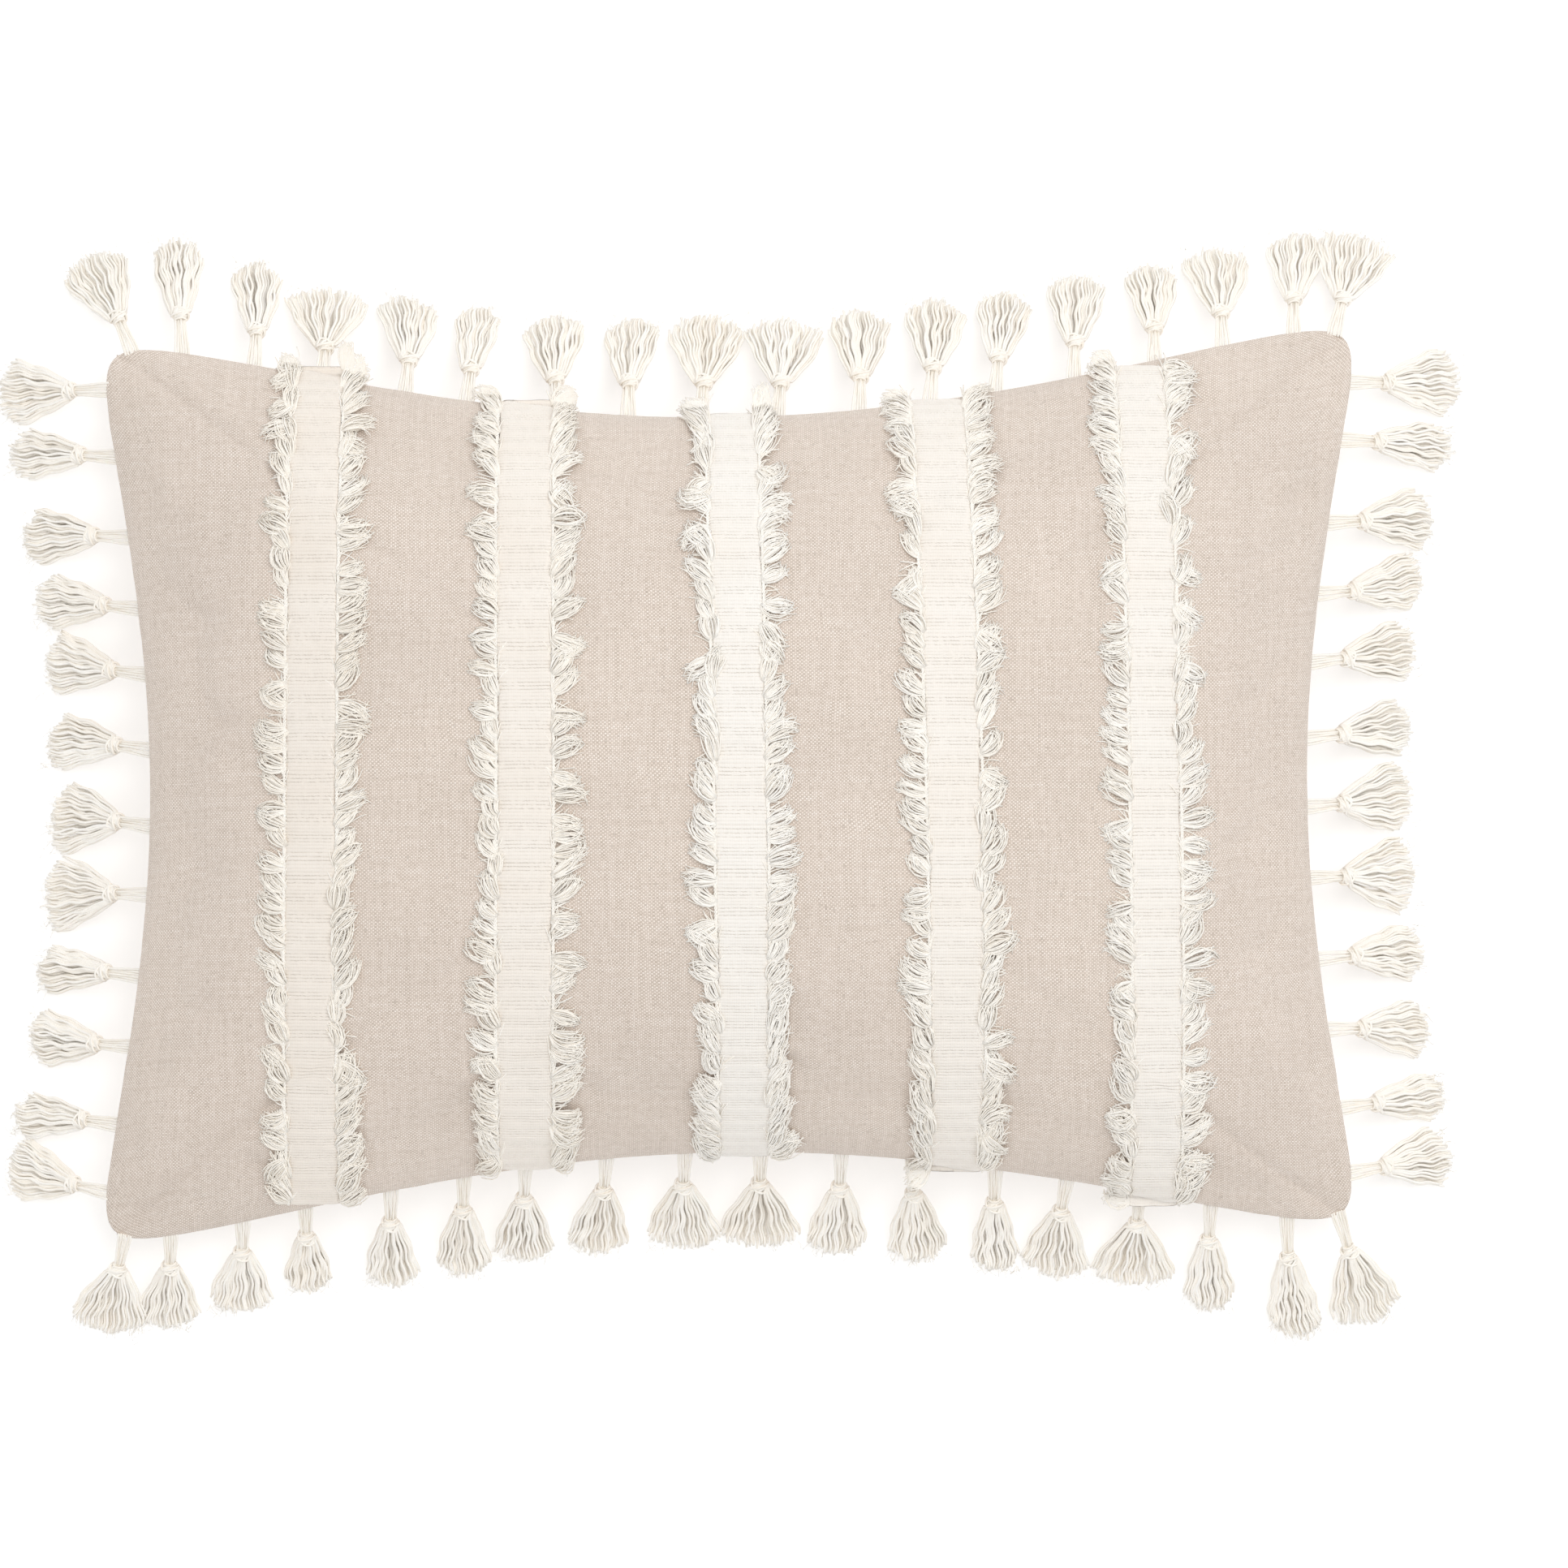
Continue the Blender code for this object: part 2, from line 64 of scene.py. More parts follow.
# The corners are rounder than the CAD's, so the straight outline that they are cut from is larger.
CORNER_FLARE = 5 * MM
HALF_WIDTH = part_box("cover_front")[1].x + CORNER_FLARE
HALF_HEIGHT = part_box("cover_front")[1].y + CORNER_FLARE
BOW_OF_SHORT_SIDES = HALF_WIDTH - FRONT_POINTS[abs(FRONT_POINTS[:, 1]) < NEAR_MIDDLE][:, 0].max()
BOW_OF_LONG_SIDES = HALF_HEIGHT - FRONT_POINTS[abs(FRONT_POINTS[:, 0]) < NEAR_MIDDLE][:, 1].max() + 1 * MM
RIM_GAP = 0.2 * MM
SEAM_DROP_AT_CORNERS = 14 * MM
SEAM_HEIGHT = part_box("cover_back_upper")[1].z + RIM_GAP
CROWN_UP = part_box("cover_front")[1].z - SEAM_HEIGHT - RIM_GAP
CROWN_DOWN = 70 * MM
DOME_POWER = 2.4
DOME_ROOT = 0.62
BOW_POWER = 1.5
CORNER_POWER = 26
SKEW = 4.2 * MM
SKEW_POWER = 6
FABRIC = 1.0 * MM

# The camera looks straight down from here. Sizes seen in the picture are at the seam's height.
CAMERA_PLACE = np.array([22.6 * MM, 0.3 * MM])
CAMERA_DISTANCE = 2.7
VIEW_WIDTH = 0.6397


# ==== Filled shape ====

def bow(t):
    return np.clip(1 - t * t, 0, 1) ** BOW_POWER


def dome(t):
    return np.clip(1 - abs(t) ** DOME_POWER, 0, 1) ** DOME_ROOT


def half_height_at(u):
    return HALF_HEIGHT - BOW_OF_LONG_SIDES * bow(u)


def half_width_at(v):
    return HALF_WIDTH - BOW_OF_SHORT_SIDES * bow(v)


def plan(u, v, depth=0.0):
    reach = np.maximum(np.maximum(abs(u), abs(v)), 1e-9)
    square = (abs(u) / reach) ** CORNER_POWER + (abs(v) / reach) ** CORNER_POWER
    rounding = square ** (-1 / CORNER_POWER)
    x = u * rounding * half_width_at(v) * (1 - depth / HALF_WIDTH)
    y = v * rounding * half_height_at(u) * (1 - depth / HALF_HEIGHT)
    return x, y + SKEW * u * reach ** SKEW_POWER


def seam_height(u, v):
    return SEAM_HEIGHT - SEAM_DROP_AT_CORNERS * (u * v) ** 2


def front_height(u, v, depth=0.0):
    return seam_height(u, v) + RIM_GAP + (CROWN_UP - depth) * dome(u) * dome(v)


def back_height(u, v, depth=0.0):
    hanging = seam_height(u, v) - RIM_GAP - (CROWN_DOWN - depth) * dome(u) * dome(v)
    return np.maximum(hanging, depth)


def place_on_cover(x, y, limit=0.9995):
    """(u, v) of a place in plan, found by going round a few times."""
    u, v = x / HALF_WIDTH, y / HALF_HEIGHT
    for _ in range(12):
        skew = SKEW * u * np.maximum(abs(u), abs(v)) ** SKEW_POWER
        u = np.clip(x / half_width_at(v), -limit, limit)
        v = np.clip((y - skew) / half_height_at(u), -limit, limit)
    return u, v


# ==== Numbers and meshes ====

def smooth(t):
    t = np.clip(t, 0, 1)
    return t * t * (3 - 2 * t)


def unit(vectors):
    return vectors / np.maximum(np.linalg.norm(vectors, axis=-1, keepdims=True), 1e-12)


NOISE_CELLS = 97


def soft_noise(x, y, size, seed):
    """Value noise from -1 to 1, with features of about this size."""
    lattice = np.random.default_rng(seed).uniform(-1, 1, (NOISE_CELLS, NOISE_CELLS))
    gx, gy = np.broadcast_arrays(x / size, y / size)
    ix, iy = np.floor(gx).astype(int), np.floor(gy).astype(int)
    fx, fy = smooth(gx - ix), smooth(gy - iy)

    def corner(a, b):
        return lattice[(ix + a) % NOISE_CELLS, (iy + b) % NOISE_CELLS]

    low = corner(0, 0) * (1 - fx) + corner(1, 0) * fx
    high = corner(0, 1) * (1 - fx) + corner(1, 1) * fx
    return low * (1 - fy) + high * fy


def make_piece(name, points, quads, ends, material, slot, **attributes):
    """A mesh object from arrays: quads (n, 4), end faces (n, k), and values per point."""
    points = np.asarray(points, np.float32).reshape(-1, 3)
    groups = [np.asarray(faces, np.int32) for faces in (quads, ends) if len(faces)]
    mesh = bpy.data.meshes.new(name)
    mesh.vertices.add(len(points))
    mesh.vertices.foreach_set("co", points.ravel())
    corners = np.concatenate([faces.ravel() for faces in groups])
    totals = np.concatenate([np.full(len(faces), faces.shape[1]) for faces in groups])
    starts = np.concatenate([[0], np.cumsum(totals)[:-1]]).astype(np.int32)
    mesh.loops.add(len(corners))
    mesh.loops.foreach_set("vertex_index", corners)
    mesh.polygons.add(len(totals))
    mesh.polygons.foreach_set("loop_start", starts)
    mesh.update(calc_edges=True)
    mesh.validate()
    mesh.shade_smooth()
    for key, values in attributes.items():
        values = np.asarray(values, np.float32)
        kind = "FLOAT" if values.ndim == 1 else "FLOAT_VECTOR"
        layer = mesh.attributes.new(key, kind, "POINT")
        layer.data.foreach_set("value" if kind == "FLOAT" else "vector", values.ravel())
    mesh.materials.append(material)
    obj = bpy.data.objects.new(name, mesh)
    bpy.context.scene.collection.objects.link(obj)
    return obj


def grid_quads(columns, rows, base=0, flip=False):
    i, j = np.meshgrid(np.arange(columns - 1), np.arange(rows - 1), indexing="ij")
    a = (base + i * rows + j).ravel()
    quads = np.stack([a, a + rows, a + rows + 1, a + 1], axis=1)
    return quads[:, ::-1] if flip else quads


def rim_quads(columns, rows, base):
    """Walls that join the borders of two grids with the same layout, base apart."""
    border = [i * rows for i in range(columns)]
    border += [(columns - 1) * rows + j for j in range(1, rows)]
    border += [i * rows + rows - 1 for i in reversed(range(columns - 1))]
    border += list(reversed(range(1, rows - 1)))
    here = np.array(border)
    there = np.roll(here, -1)
    return np.stack([here + base, there + base, there, here], axis=1)


def grid_normals(points):
    return unit(np.cross(np.gradient(points, axis=0), np.gradient(points, axis=1)))


def closed_sheet(over, under, flip=False):
    """Points and quads of two grids with the same layout, joined all round by walls."""
    columns, rows = over.shape[:2]
    count = columns * rows
    quads = np.concatenate([
        grid_quads(columns, rows, 0, flip),
        grid_quads(columns, rows, count, not flip),
        rim_quads(columns, rows, count)[:, ::-1 if flip else 1]])
    return np.concatenate([over.reshape(-1, 3), under.reshape(-1, 3)]), quads


def stand_for(node, piece):
    """The piece takes a CAD node's place on the pillow."""
    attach(piece, ROOT)
    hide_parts(node)


class Yarns:
    """Collects yarns as closed tubes, and makes one mesh object of them all."""

    def __init__(self):
        self.points, self.quads, self.tones, self.layouts = [], [], [], []
        self.ends = {}
        self.count = 0

    def add(self, paths, radius, sides=6, tones=None, up=(0.03, 0.02, 1)):
        """Adds paths, (yarns, points, 3). The yarn attribute holds the place round each section, as
        its cosine and sine, and the millimetres along.
        """
        paths = np.asarray(paths, float)
        n, p = paths.shape[:2]
        radius = np.broadcast_to(np.asarray(radius, float), (n, p))
        tangent = unit(np.gradient(paths, axis=1))
        across = unit(np.cross(tangent, np.asarray(up, float)))
        normal = np.cross(across, tangent)
        steps = np.linalg.norm(np.diff(paths, axis=1), axis=2)
        run = np.concatenate([np.zeros((n, 1)), np.cumsum(steps, axis=1)], axis=1)
        angle = np.linspace(0, 2 * math.pi, sides, endpoint=False)
        sx = np.cos(angle) * radius[..., None]
        sy = np.sin(angle) * radius[..., None]
        ring = paths[:, :, None] + across[:, :, None] * sx[..., None] + normal[:, :, None] * sy[..., None]
        base = self.count + np.arange(n)[:, None, None] * p * sides
        k = np.arange(sides)
        ring_start = base + np.arange(p - 1)[None, :, None] * sides
        a, b = ring_start + k, ring_start + (k + 1) % sides
        self.quads.append(np.stack([a, a + sides, b + sides, b], axis=-1).reshape(-1, 4))
        first = base[:, 0] + k
        last = base[:, 0] + (p - 1) * sides + k[::-1]
        self.ends.setdefault(sides, []).extend([first, last])
        self.points.append(ring.reshape(-1, 3))
        shape = (n, p, sides)
        layout = (np.broadcast_to(np.cos(angle), shape), np.broadcast_to(np.sin(angle), shape),
                  np.broadcast_to(run[..., None] / MM, shape))
        self.layouts.append(np.stack(layout, axis=-1).reshape(-1, 3))
        tones = np.zeros(n) if tones is None else np.asarray(tones, float)
        self.tones.append(np.repeat(tones, p * sides))
        self.count += n * p * sides

    def make(self, name, material, slot):
        points = np.concatenate(self.points)
        quads = np.concatenate(self.quads)
        # End faces have different numbers of sides, so they are cut into triangles.
        triangles = []
        for faces in map(np.concatenate, self.ends.values()):
            for k in range(1, faces.shape[1] - 1):
                triangles.append(faces[:, [0, k, k + 1]])
        return make_piece(name, points, quads, np.concatenate(triangles), material, slot,
                          tone=np.concatenate(self.tones), yarn=np.concatenate(self.layouts))


# ==== Materials ====

# Pitches of the weave's threads and of a yarn's ply, in millimetres as the materials count them.
WARP_PITCH, WEFT_PITCH = 0.81, 0.705
PLY_PITCH = 5.0
# Pitches of the tape's ribs and of its bands, in metres because its shape uses them too.
RIB_PITCH = 1.44 * MM
BAND_PITCH = 8.0 * MM


class Nodes:
    """Short names for building one node material."""

    def __init__(self, name):
        self.material = bpy.data.materials.new(name)
        self.material.use_nodes = True
        self.tree = self.material.node_tree
        self.shader = self.tree.nodes["Principled BSDF"]

    def put(self, value, socket):
        if isinstance(value, bpy.types.NodeSocket):
            self.tree.links.new(value, socket)
        elif value is not None:
            socket.default_value = value

    def math(self, operation, a, b=None):
        node = self.tree.nodes.new("ShaderNodeMath")
        node.operation = operation
        for value, socket in zip((a, b), node.inputs):
            self.put(value, socket)
        return node.outputs[0]

    def plus(self, a, b):
        return self.math("ADD", a, b)

    def minus(self, a, b):
        return self.math("SUBTRACT", a, b)

    def times(self, a, b):
        return self.math("MULTIPLY", a, b)

    def over(self, a, b):
        return self.math("DIVIDE", a, b)

    def attribute(self, name):
        node = self.tree.nodes.new("ShaderNodeAttribute")
        node.attribute_name = name
        return node

    def split(self, vector):
        node = self.tree.nodes.new("ShaderNodeSeparateXYZ")
        self.put(vector, node.inputs[0])
        return node.outputs

    def join(self, x, y, z=0.0):
        node = self.tree.nodes.new("ShaderNodeCombineXYZ")
        for value, socket in zip((x, y, z), node.inputs):
            self.put(value, socket)
        return node.outputs[0]

    def place(self):
        return self.tree.nodes.new("ShaderNodeTexCoord").outputs["Object"]

    def noise(self, vector, scale, detail=2.0, roughness=0.5):
        node = self.tree.nodes.new("ShaderNodeTexNoise")
        self.put(vector, node.inputs["Vector"])
        node.inputs["Scale"].default_value = scale
        node.inputs["Detail"].default_value = detail
        node.inputs["Roughness"].default_value = roughness
        return node.outputs["Fac"]

    def random(self, vector):
        node = self.tree.nodes.new("ShaderNodeTexWhiteNoise")
        node.noise_dimensions = "3D"
        self.put(vector, node.inputs["Vector"])
        return node.outputs["Value"]

    def ramp(self, value, *stops):
        """Colour or grey ramp; each stop is (position, colour)."""
        node = self.tree.nodes.new("ShaderNodeValToRGB")
        elements = node.color_ramp.elements
        while len(elements) < len(stops):
            elements.new(0.5)
        for element, (position, colour) in zip(elements, stops):
            element.position = position
            element.color = (*colour, 1.0)
        self.put(value, node.inputs[0])
        return node.outputs[0]

    def mix(self, factor, a, b, blend="MIX"):
        node = self.tree.nodes.new("ShaderNodeMix")
        node.data_type = "RGBA"
        node.blend_type = blend
        self.put(factor, node.inputs["Factor"])
        for value, socket in ((a, node.inputs[6]), (b, node.inputs[7])):
            self.put((*value, 1.0) if isinstance(value, tuple) else value, socket)
        return node.outputs[2]

    def range(self, value, low, high, to_low=0.0, to_high=1.0):
        node = self.tree.nodes.new("ShaderNodeMapRange")
        for number, socket in zip((value, low, high, to_low, to_high), node.inputs):
            self.put(number, socket)
        return node.outputs[0]

    def bump(self, height, distance, strength):
        node = self.tree.nodes.new("ShaderNodeBump")
        node.inputs["Strength"].default_value = strength
        node.inputs["Distance"].default_value = distance
        self.put(height, node.inputs["Height"])
        return node.outputs[0]

    def finish(self, colour, roughness, normal=None, sheen=0.0, specular=0.3, metallic=0.0):
        self.put((*colour, 1.0) if isinstance(colour, tuple) else colour, self.shader.inputs["Base Color"])
        self.put(roughness, self.shader.inputs["Roughness"])
        self.shader.inputs["Specular IOR Level"].default_value = specular
        self.shader.inputs["Sheen Weight"].default_value = sheen
        self.shader.inputs["Sheen Roughness"].default_value = 0.5
        self.shader.inputs["Metallic"].default_value = metallic
        if normal is not None:
            self.put(normal, self.shader.inputs["Normal"])
        return self.material


def linen_material():
    """Plain weave from the cloth attribute, which counts millimetres along the weft and the warp."""
    n = Nodes("linen")
    across, along, _ = n.split(n.attribute("cloth").outputs["Vector"])
    place = n.join(across, along)
    drift = n.range(n.noise(place, 0.03, 2.0), 0.3, 0.7, -1.0, 1.0)
    jitter = n.range(n.noise(place, 0.8, 1.0), 0.3, 0.7, -0.03, 0.03)
    shift = n.plus(drift, jitter)
    warp = n.over(n.plus(across, shift), WARP_PITCH)
    weft = n.over(n.minus(along, shift), WEFT_PITCH)
    warp_number, weft_number = n.math("FLOOR", warp), n.math("FLOOR", weft)
    warp_place, weft_place = n.math("FRACT", warp), n.math("FRACT", weft)
    weft_on_top = n.math("PINGPONG", n.plus(warp_number, weft_number), 1.0)
    warp_on_top = n.minus(1.0, weft_on_top)

    def thread(position, crown):
        """Round thread across its width, humped where it lies on top."""
        wide = n.math("SINE", n.times(position, math.pi))
        hump = n.math("SINE", n.times(crown, math.pi))
        return n.times(n.math("POWER", wide, 0.7), n.math("POWER", hump, 0.6))

    warp_height = n.times(thread(warp_place, weft_place), warp_on_top)
    weft_height = n.times(thread(weft_place, warp_place), weft_on_top)
    height = n.plus(warp_height, weft_height)
    crossing = n.random(n.join(warp_number, weft_number, 3.0))
    warp_tone = n.random(n.join(warp_number, n.math("FLOOR", n.over(along, 31.0)), 1.0))
    weft_tone = n.random(n.join(weft_number, n.math("FLOOR", n.over(across, 37.0)), 2.0))
    clouds = n.range(n.noise(place, 0.35, 2.0), 0.3, 0.7)

    def thread_value(tone):
        own = n.plus(n.times(crossing, 0.25), n.times(tone, 0.4))
        return n.plus(own, n.times(clouds, 0.35))

    warp_colour = n.ramp(thread_value(warp_tone), (0.1, (0.57, 0.485, 0.41)), (0.5, (0.685, 0.59, 0.515)),
                         (0.9, (0.78, 0.685, 0.61)))
    weft_colour = n.ramp(thread_value(weft_tone), (0.1, (0.79, 0.695, 0.615)), (0.5, (0.89, 0.795, 0.715)),
                         (0.9, (0.955, 0.885, 0.82)))
    thread_colour = n.mix(weft_on_top, warp_colour, weft_colour)
    colour = n.mix(n.range(height, 0.05, 0.5), (0.55, 0.455, 0.38), thread_colour)
    flecks = n.times(n.math("GREATER_THAN", crossing, 0.993), 0.35)
    colour = n.mix(flecks, colour, (0.36, 0.30, 0.25))
    patches = n.noise(place, 0.018, 2.0)
    shade = n.range(patches, 0.3, 0.7, 0.95, 1.0)
    colour = n.mix(1.0, colour, n.ramp(shade, (0.0, (0, 0, 0)), (1.0, (1, 1, 1))), "MULTIPLY")
    roughness = n.range(height, 0.0, 1.0, 0.95, 0.8)
    normal = n.bump(height, 0.15 * MM, 0.6)
    return n.finish(colour, roughness, normal, sheen=0.2, specular=0.15)


def cotton_material():
    """Soft two-ply cotton: a tone per yarn, warmer patches, ply grooves, fine fibre, and painted shade on
    each yarn's underside.
    """
    n = Nodes("cotton")
    tone = n.attribute("tone").outputs["Fac"]
    cosine, sine, run = n.split(n.attribute("yarn").outputs["Vector"])
    place = n.place()
    patches = n.noise(place, 45.0, 2.0)
    fibres = n.noise(place, 2200.0, 2.0)
    twist = n.times(run, 2 * math.pi / PLY_PITCH)
    turned = n.plus(n.times(sine, n.math("COSINE", twist)),
                    n.times(cosine, n.math("SINE", twist)))
    ply = n.math("POWER", n.math("ABSOLUTE", turned), 0.6)
    value = n.plus(n.times(tone, 0.6), n.times(patches, 0.5))
    colour = n.ramp(value, (0.0, (0.955, 0.895, 0.805)), (0.4, (0.972, 0.93, 0.86)),
                    (0.75, (0.978, 0.95, 0.90)), (1.0, (0.98, 0.965, 0.935)))
    colour = n.mix(n.range(ply, 0.0, 0.5, 0.2, 0.0), colour, (0.90, 0.80, 0.66))
    # Painted shade: where a yarn's section faces down, its underside is tinted darker and warmer.
    colour = n.mix(n.range(sine, 0.5, -0.7, 0.0, 0.5), colour, (0.93, 0.83, 0.69))
    height = n.plus(ply, n.times(fibres, 0.3))
    normal = n.bump(height, 0.12 * MM, 0.3)
    return n.finish(colour, n.range(fibres, 0.2, 0.8, 0.75, 0.95), normal, sheen=0.05, specular=0.1)


def tape_material():
    """Ribbed cotton tape. Its weave attribute holds millimetres across and along, and its tone."""
    n = Nodes("tape")
    across, along, tone = n.split(n.attribute("weave").outputs["Vector"])
    rib = n.over(along, RIB_PITCH / MM)
    rib_number = n.math("FLOOR", rib)
    groove = n.math("ABSOLUTE", n.minus(n.math("FRACT", rib), 0.5))
    wander = n.noise(n.join(n.times(across, 0.25), n.times(along, 0.9)), 1.0, 2.0)
    column = n.plus(n.over(across, 1.35), n.times(rib_number, 0.37))
    dash = n.random(n.join(n.math("FLOOR", column), rib_number, 5.0))
    dash_place = n.math("ABSOLUTE", n.minus(n.math("FRACT", column), 0.5))
    dash_ends = n.range(dash_place, 0.2, 0.42, 1.0, 0.0)
    band = n.math("SINE", n.times(along, 2 * math.pi / (BAND_PITCH / MM)))
    worked = n.range(n.plus(band, n.times(wander, 0.8)), 0.0, 0.9, 1.0, 0.35)
    shown = n.times(n.range(dash, 0.1, 0.5), worked)
    dashes = n.times(n.times(n.range(groove, 0.30, 0.46), dash_ends), shown)
    fine = n.noise(n.join(n.times(across, 0.8), n.times(along, 4.0)), 1.0, 2.0)
    patches = n.noise(n.join(across, along), 0.03, 2.0)
    value = n.plus(n.times(fine, 0.35), n.times(patches, 0.35))
    colour = n.ramp(n.plus(value, n.times(tone, 0.3)), (0.2, (0.85, 0.775, 0.695)),
                    (0.5, (0.895, 0.845, 0.785)), (0.75, (0.915, 0.89, 0.85)))
    lines_between = n.times(n.range(groove, 0.36, 0.5), n.range(worked, 0.0, 1.0, 0.08, 0.3))
    colour = n.mix(lines_between, colour, (0.76, 0.66, 0.53))
    colour = n.mix(n.times(dashes, 0.5), colour, (0.70, 0.62, 0.52))
    threads = n.math("SINE", n.times(across, 2 * math.pi / 0.7))
    colour = n.mix(n.range(threads, -1.0, 0.3, 0.16, 0.0), colour, (0.78, 0.69, 0.57))
    height = n.minus(n.times(threads, 0.12), n.times(dashes, 1.2))
    normal = n.bump(height, 0.2 * MM, 0.8)
    return n.finish(colour, 0.88, normal, sheen=0.3, specular=0.15)


def plain_fabric_material(name, dark, light, thread):
    """Even plain weave laid over the piece in plan; thread is its pitch in millimetres."""
    n = Nodes(name)
    x, y, _ = n.split(n.place())
    turn = math.pi / (thread * MM)
    weave = n.times(n.math("SINE", n.times(x, turn)),
                   n.math("SINE", n.times(y, turn)))
    height = n.math("ABSOLUTE", weave)
    patches = n.noise(n.place(), 30.0, 3.0)
    value = n.plus(n.times(height, 0.5), n.times(patches, 0.5))
    colour = n.ramp(value, (0.15, dark), (0.75, light))
    return n.finish(colour, n.range(height, 0.0, 1.0, 0.95, 0.8), n.bump(height, 0.15 * MM, 0.7),
                    sheen=0.2, specular=0.15)


def fibre_fill_material():
    """White polyester fibre: curled strands and soft hollows."""
    n = Nodes("fibre_fill")
    strands = n.noise(n.place(), 900.0, 5.0, 0.7)
    tufts = n.noise(n.place(), 40.0, 3.0)
    colour = n.ramp(n.plus(n.times(strands, 0.5), n.times(tufts, 0.5)),
                    (0.3, (0.86, 0.86, 0.86)), (0.7, (0.95, 0.95, 0.95)))
    height = n.plus(strands, tufts)
    return n.finish(colour, n.range(strands, 0.2, 0.8, 0.7, 0.95), n.bump(height, 0.8 * MM, 0.7), sheen=0.4)


def nylon_material():
    """Smooth beige nylon wire with faint drawing marks."""
    n = Nodes("nylon")
    marks = n.noise(n.place(), 1500.0, 2.0)
    patches = n.noise(n.place(), 60.0, 2.0)
    colour = n.ramp(patches, (0.3, (0.66, 0.57, 0.47)), (0.7, (0.72, 0.63, 0.53)))
    return n.finish(colour, n.range(marks, 0.2, 0.8, 0.28, 0.45), n.bump(marks, 0.03 * MM, 0.4),
                    specular=0.5)


def metal_material():
    """Nickel-plated zinc with fine tumbling marks and duller patches from handling."""
    n = Nodes("nickel")
    marks = n.noise(n.place(), 3000.0, 3.0)
    worn = n.noise(n.place(), 250.0, 3.0)
    colour = n.ramp(worn, (0.3, (0.52, 0.50, 0.47)), (0.7, (0.68, 0.66, 0.63)))
    roughness = n.plus(n.range(marks, 0.2, 0.8, 0.12, 0.25), n.range(worn, 0.3, 0.7, 0.05, 0.15))
    return n.finish(colour, roughness, n.bump(marks, 0.02 * MM, 0.5), specular=0.5, metallic=1.0)


# ==== Cover ====

COVER_COLUMNS, COVER_ROWS = 256, 180
PUCKER_HEIGHT, PUCKER_START, PUCKER_REACH = 0.55 * MM, 1.5 * MM, 16 * MM
SWELL_COLUMNS, SWELL_ROWS = 96, 70
SWELL_FRAMES = 20
SWELL_CAP = 5 * MM
DEEPEST_DIP = 1.0 * MM


def lines(count, low=-1.0, high=1.0):
    """Grid lines from low to high, closer together towards the seams at -1 and 1."""
    ends = []
    for value in (low, high):
        s = np.linspace(-1, 1, 2001)
        ends.append(np.interp(value, 0.3 * s + 0.7 * np.sin(s * math.pi / 2), s))
    s = np.linspace(ends[0], ends[1], count)
    return 0.3 * s + 0.7 * np.sin(s * math.pi / 2)


def seam_distance(u, v):
    """Roughly how far in from the nearest seam, smooth across the corners' diagonals."""
    a = (1 - abs(u)) * HALF_WIDTH + 1e-6
    b = (1 - abs(v)) * HALF_HEIGHT + 1e-6
    return (a**-3 + b**-3) ** (-1 / 3)


def seam_puckers(u, v, seed):
    """Small gathers that run in from the seam and die out."""
    x, y = u * HALF_WIDTH, v * HALF_HEIGHT
    from_long = (1 - abs(v)) * HALF_HEIGHT
    from_short = (1 - abs(u)) * HALF_WIDTH
    side, end = np.sign(v) * 3.0, np.sign(u) * 3.0
    long_wave = soft_noise(x, side * 40 * MM, 9 * MM, seed)
    long_wave += 0.7 * soft_noise(x, side * 50 * MM, 22 * MM, seed + 1)
    short_wave = soft_noise(y, end * 40 * MM, 10 * MM, seed + 2)
    short_wave += 0.7 * soft_noise(y, end * 50 * MM, 24 * MM, seed + 3)

    def fade(d):
        return (1 - np.exp(-d / PUCKER_START)) * np.exp(-d / PUCKER_REACH)

    return PUCKER_HEIGHT * (long_wave * fade(from_long) + short_wave * fade(from_short))


def filling_lumps(x, y, seed):
    return 1.1 * MM * soft_noise(x, y, 60 * MM, seed) + 0.5 * MM * soft_noise(x, y, 27 * MM, seed + 5)


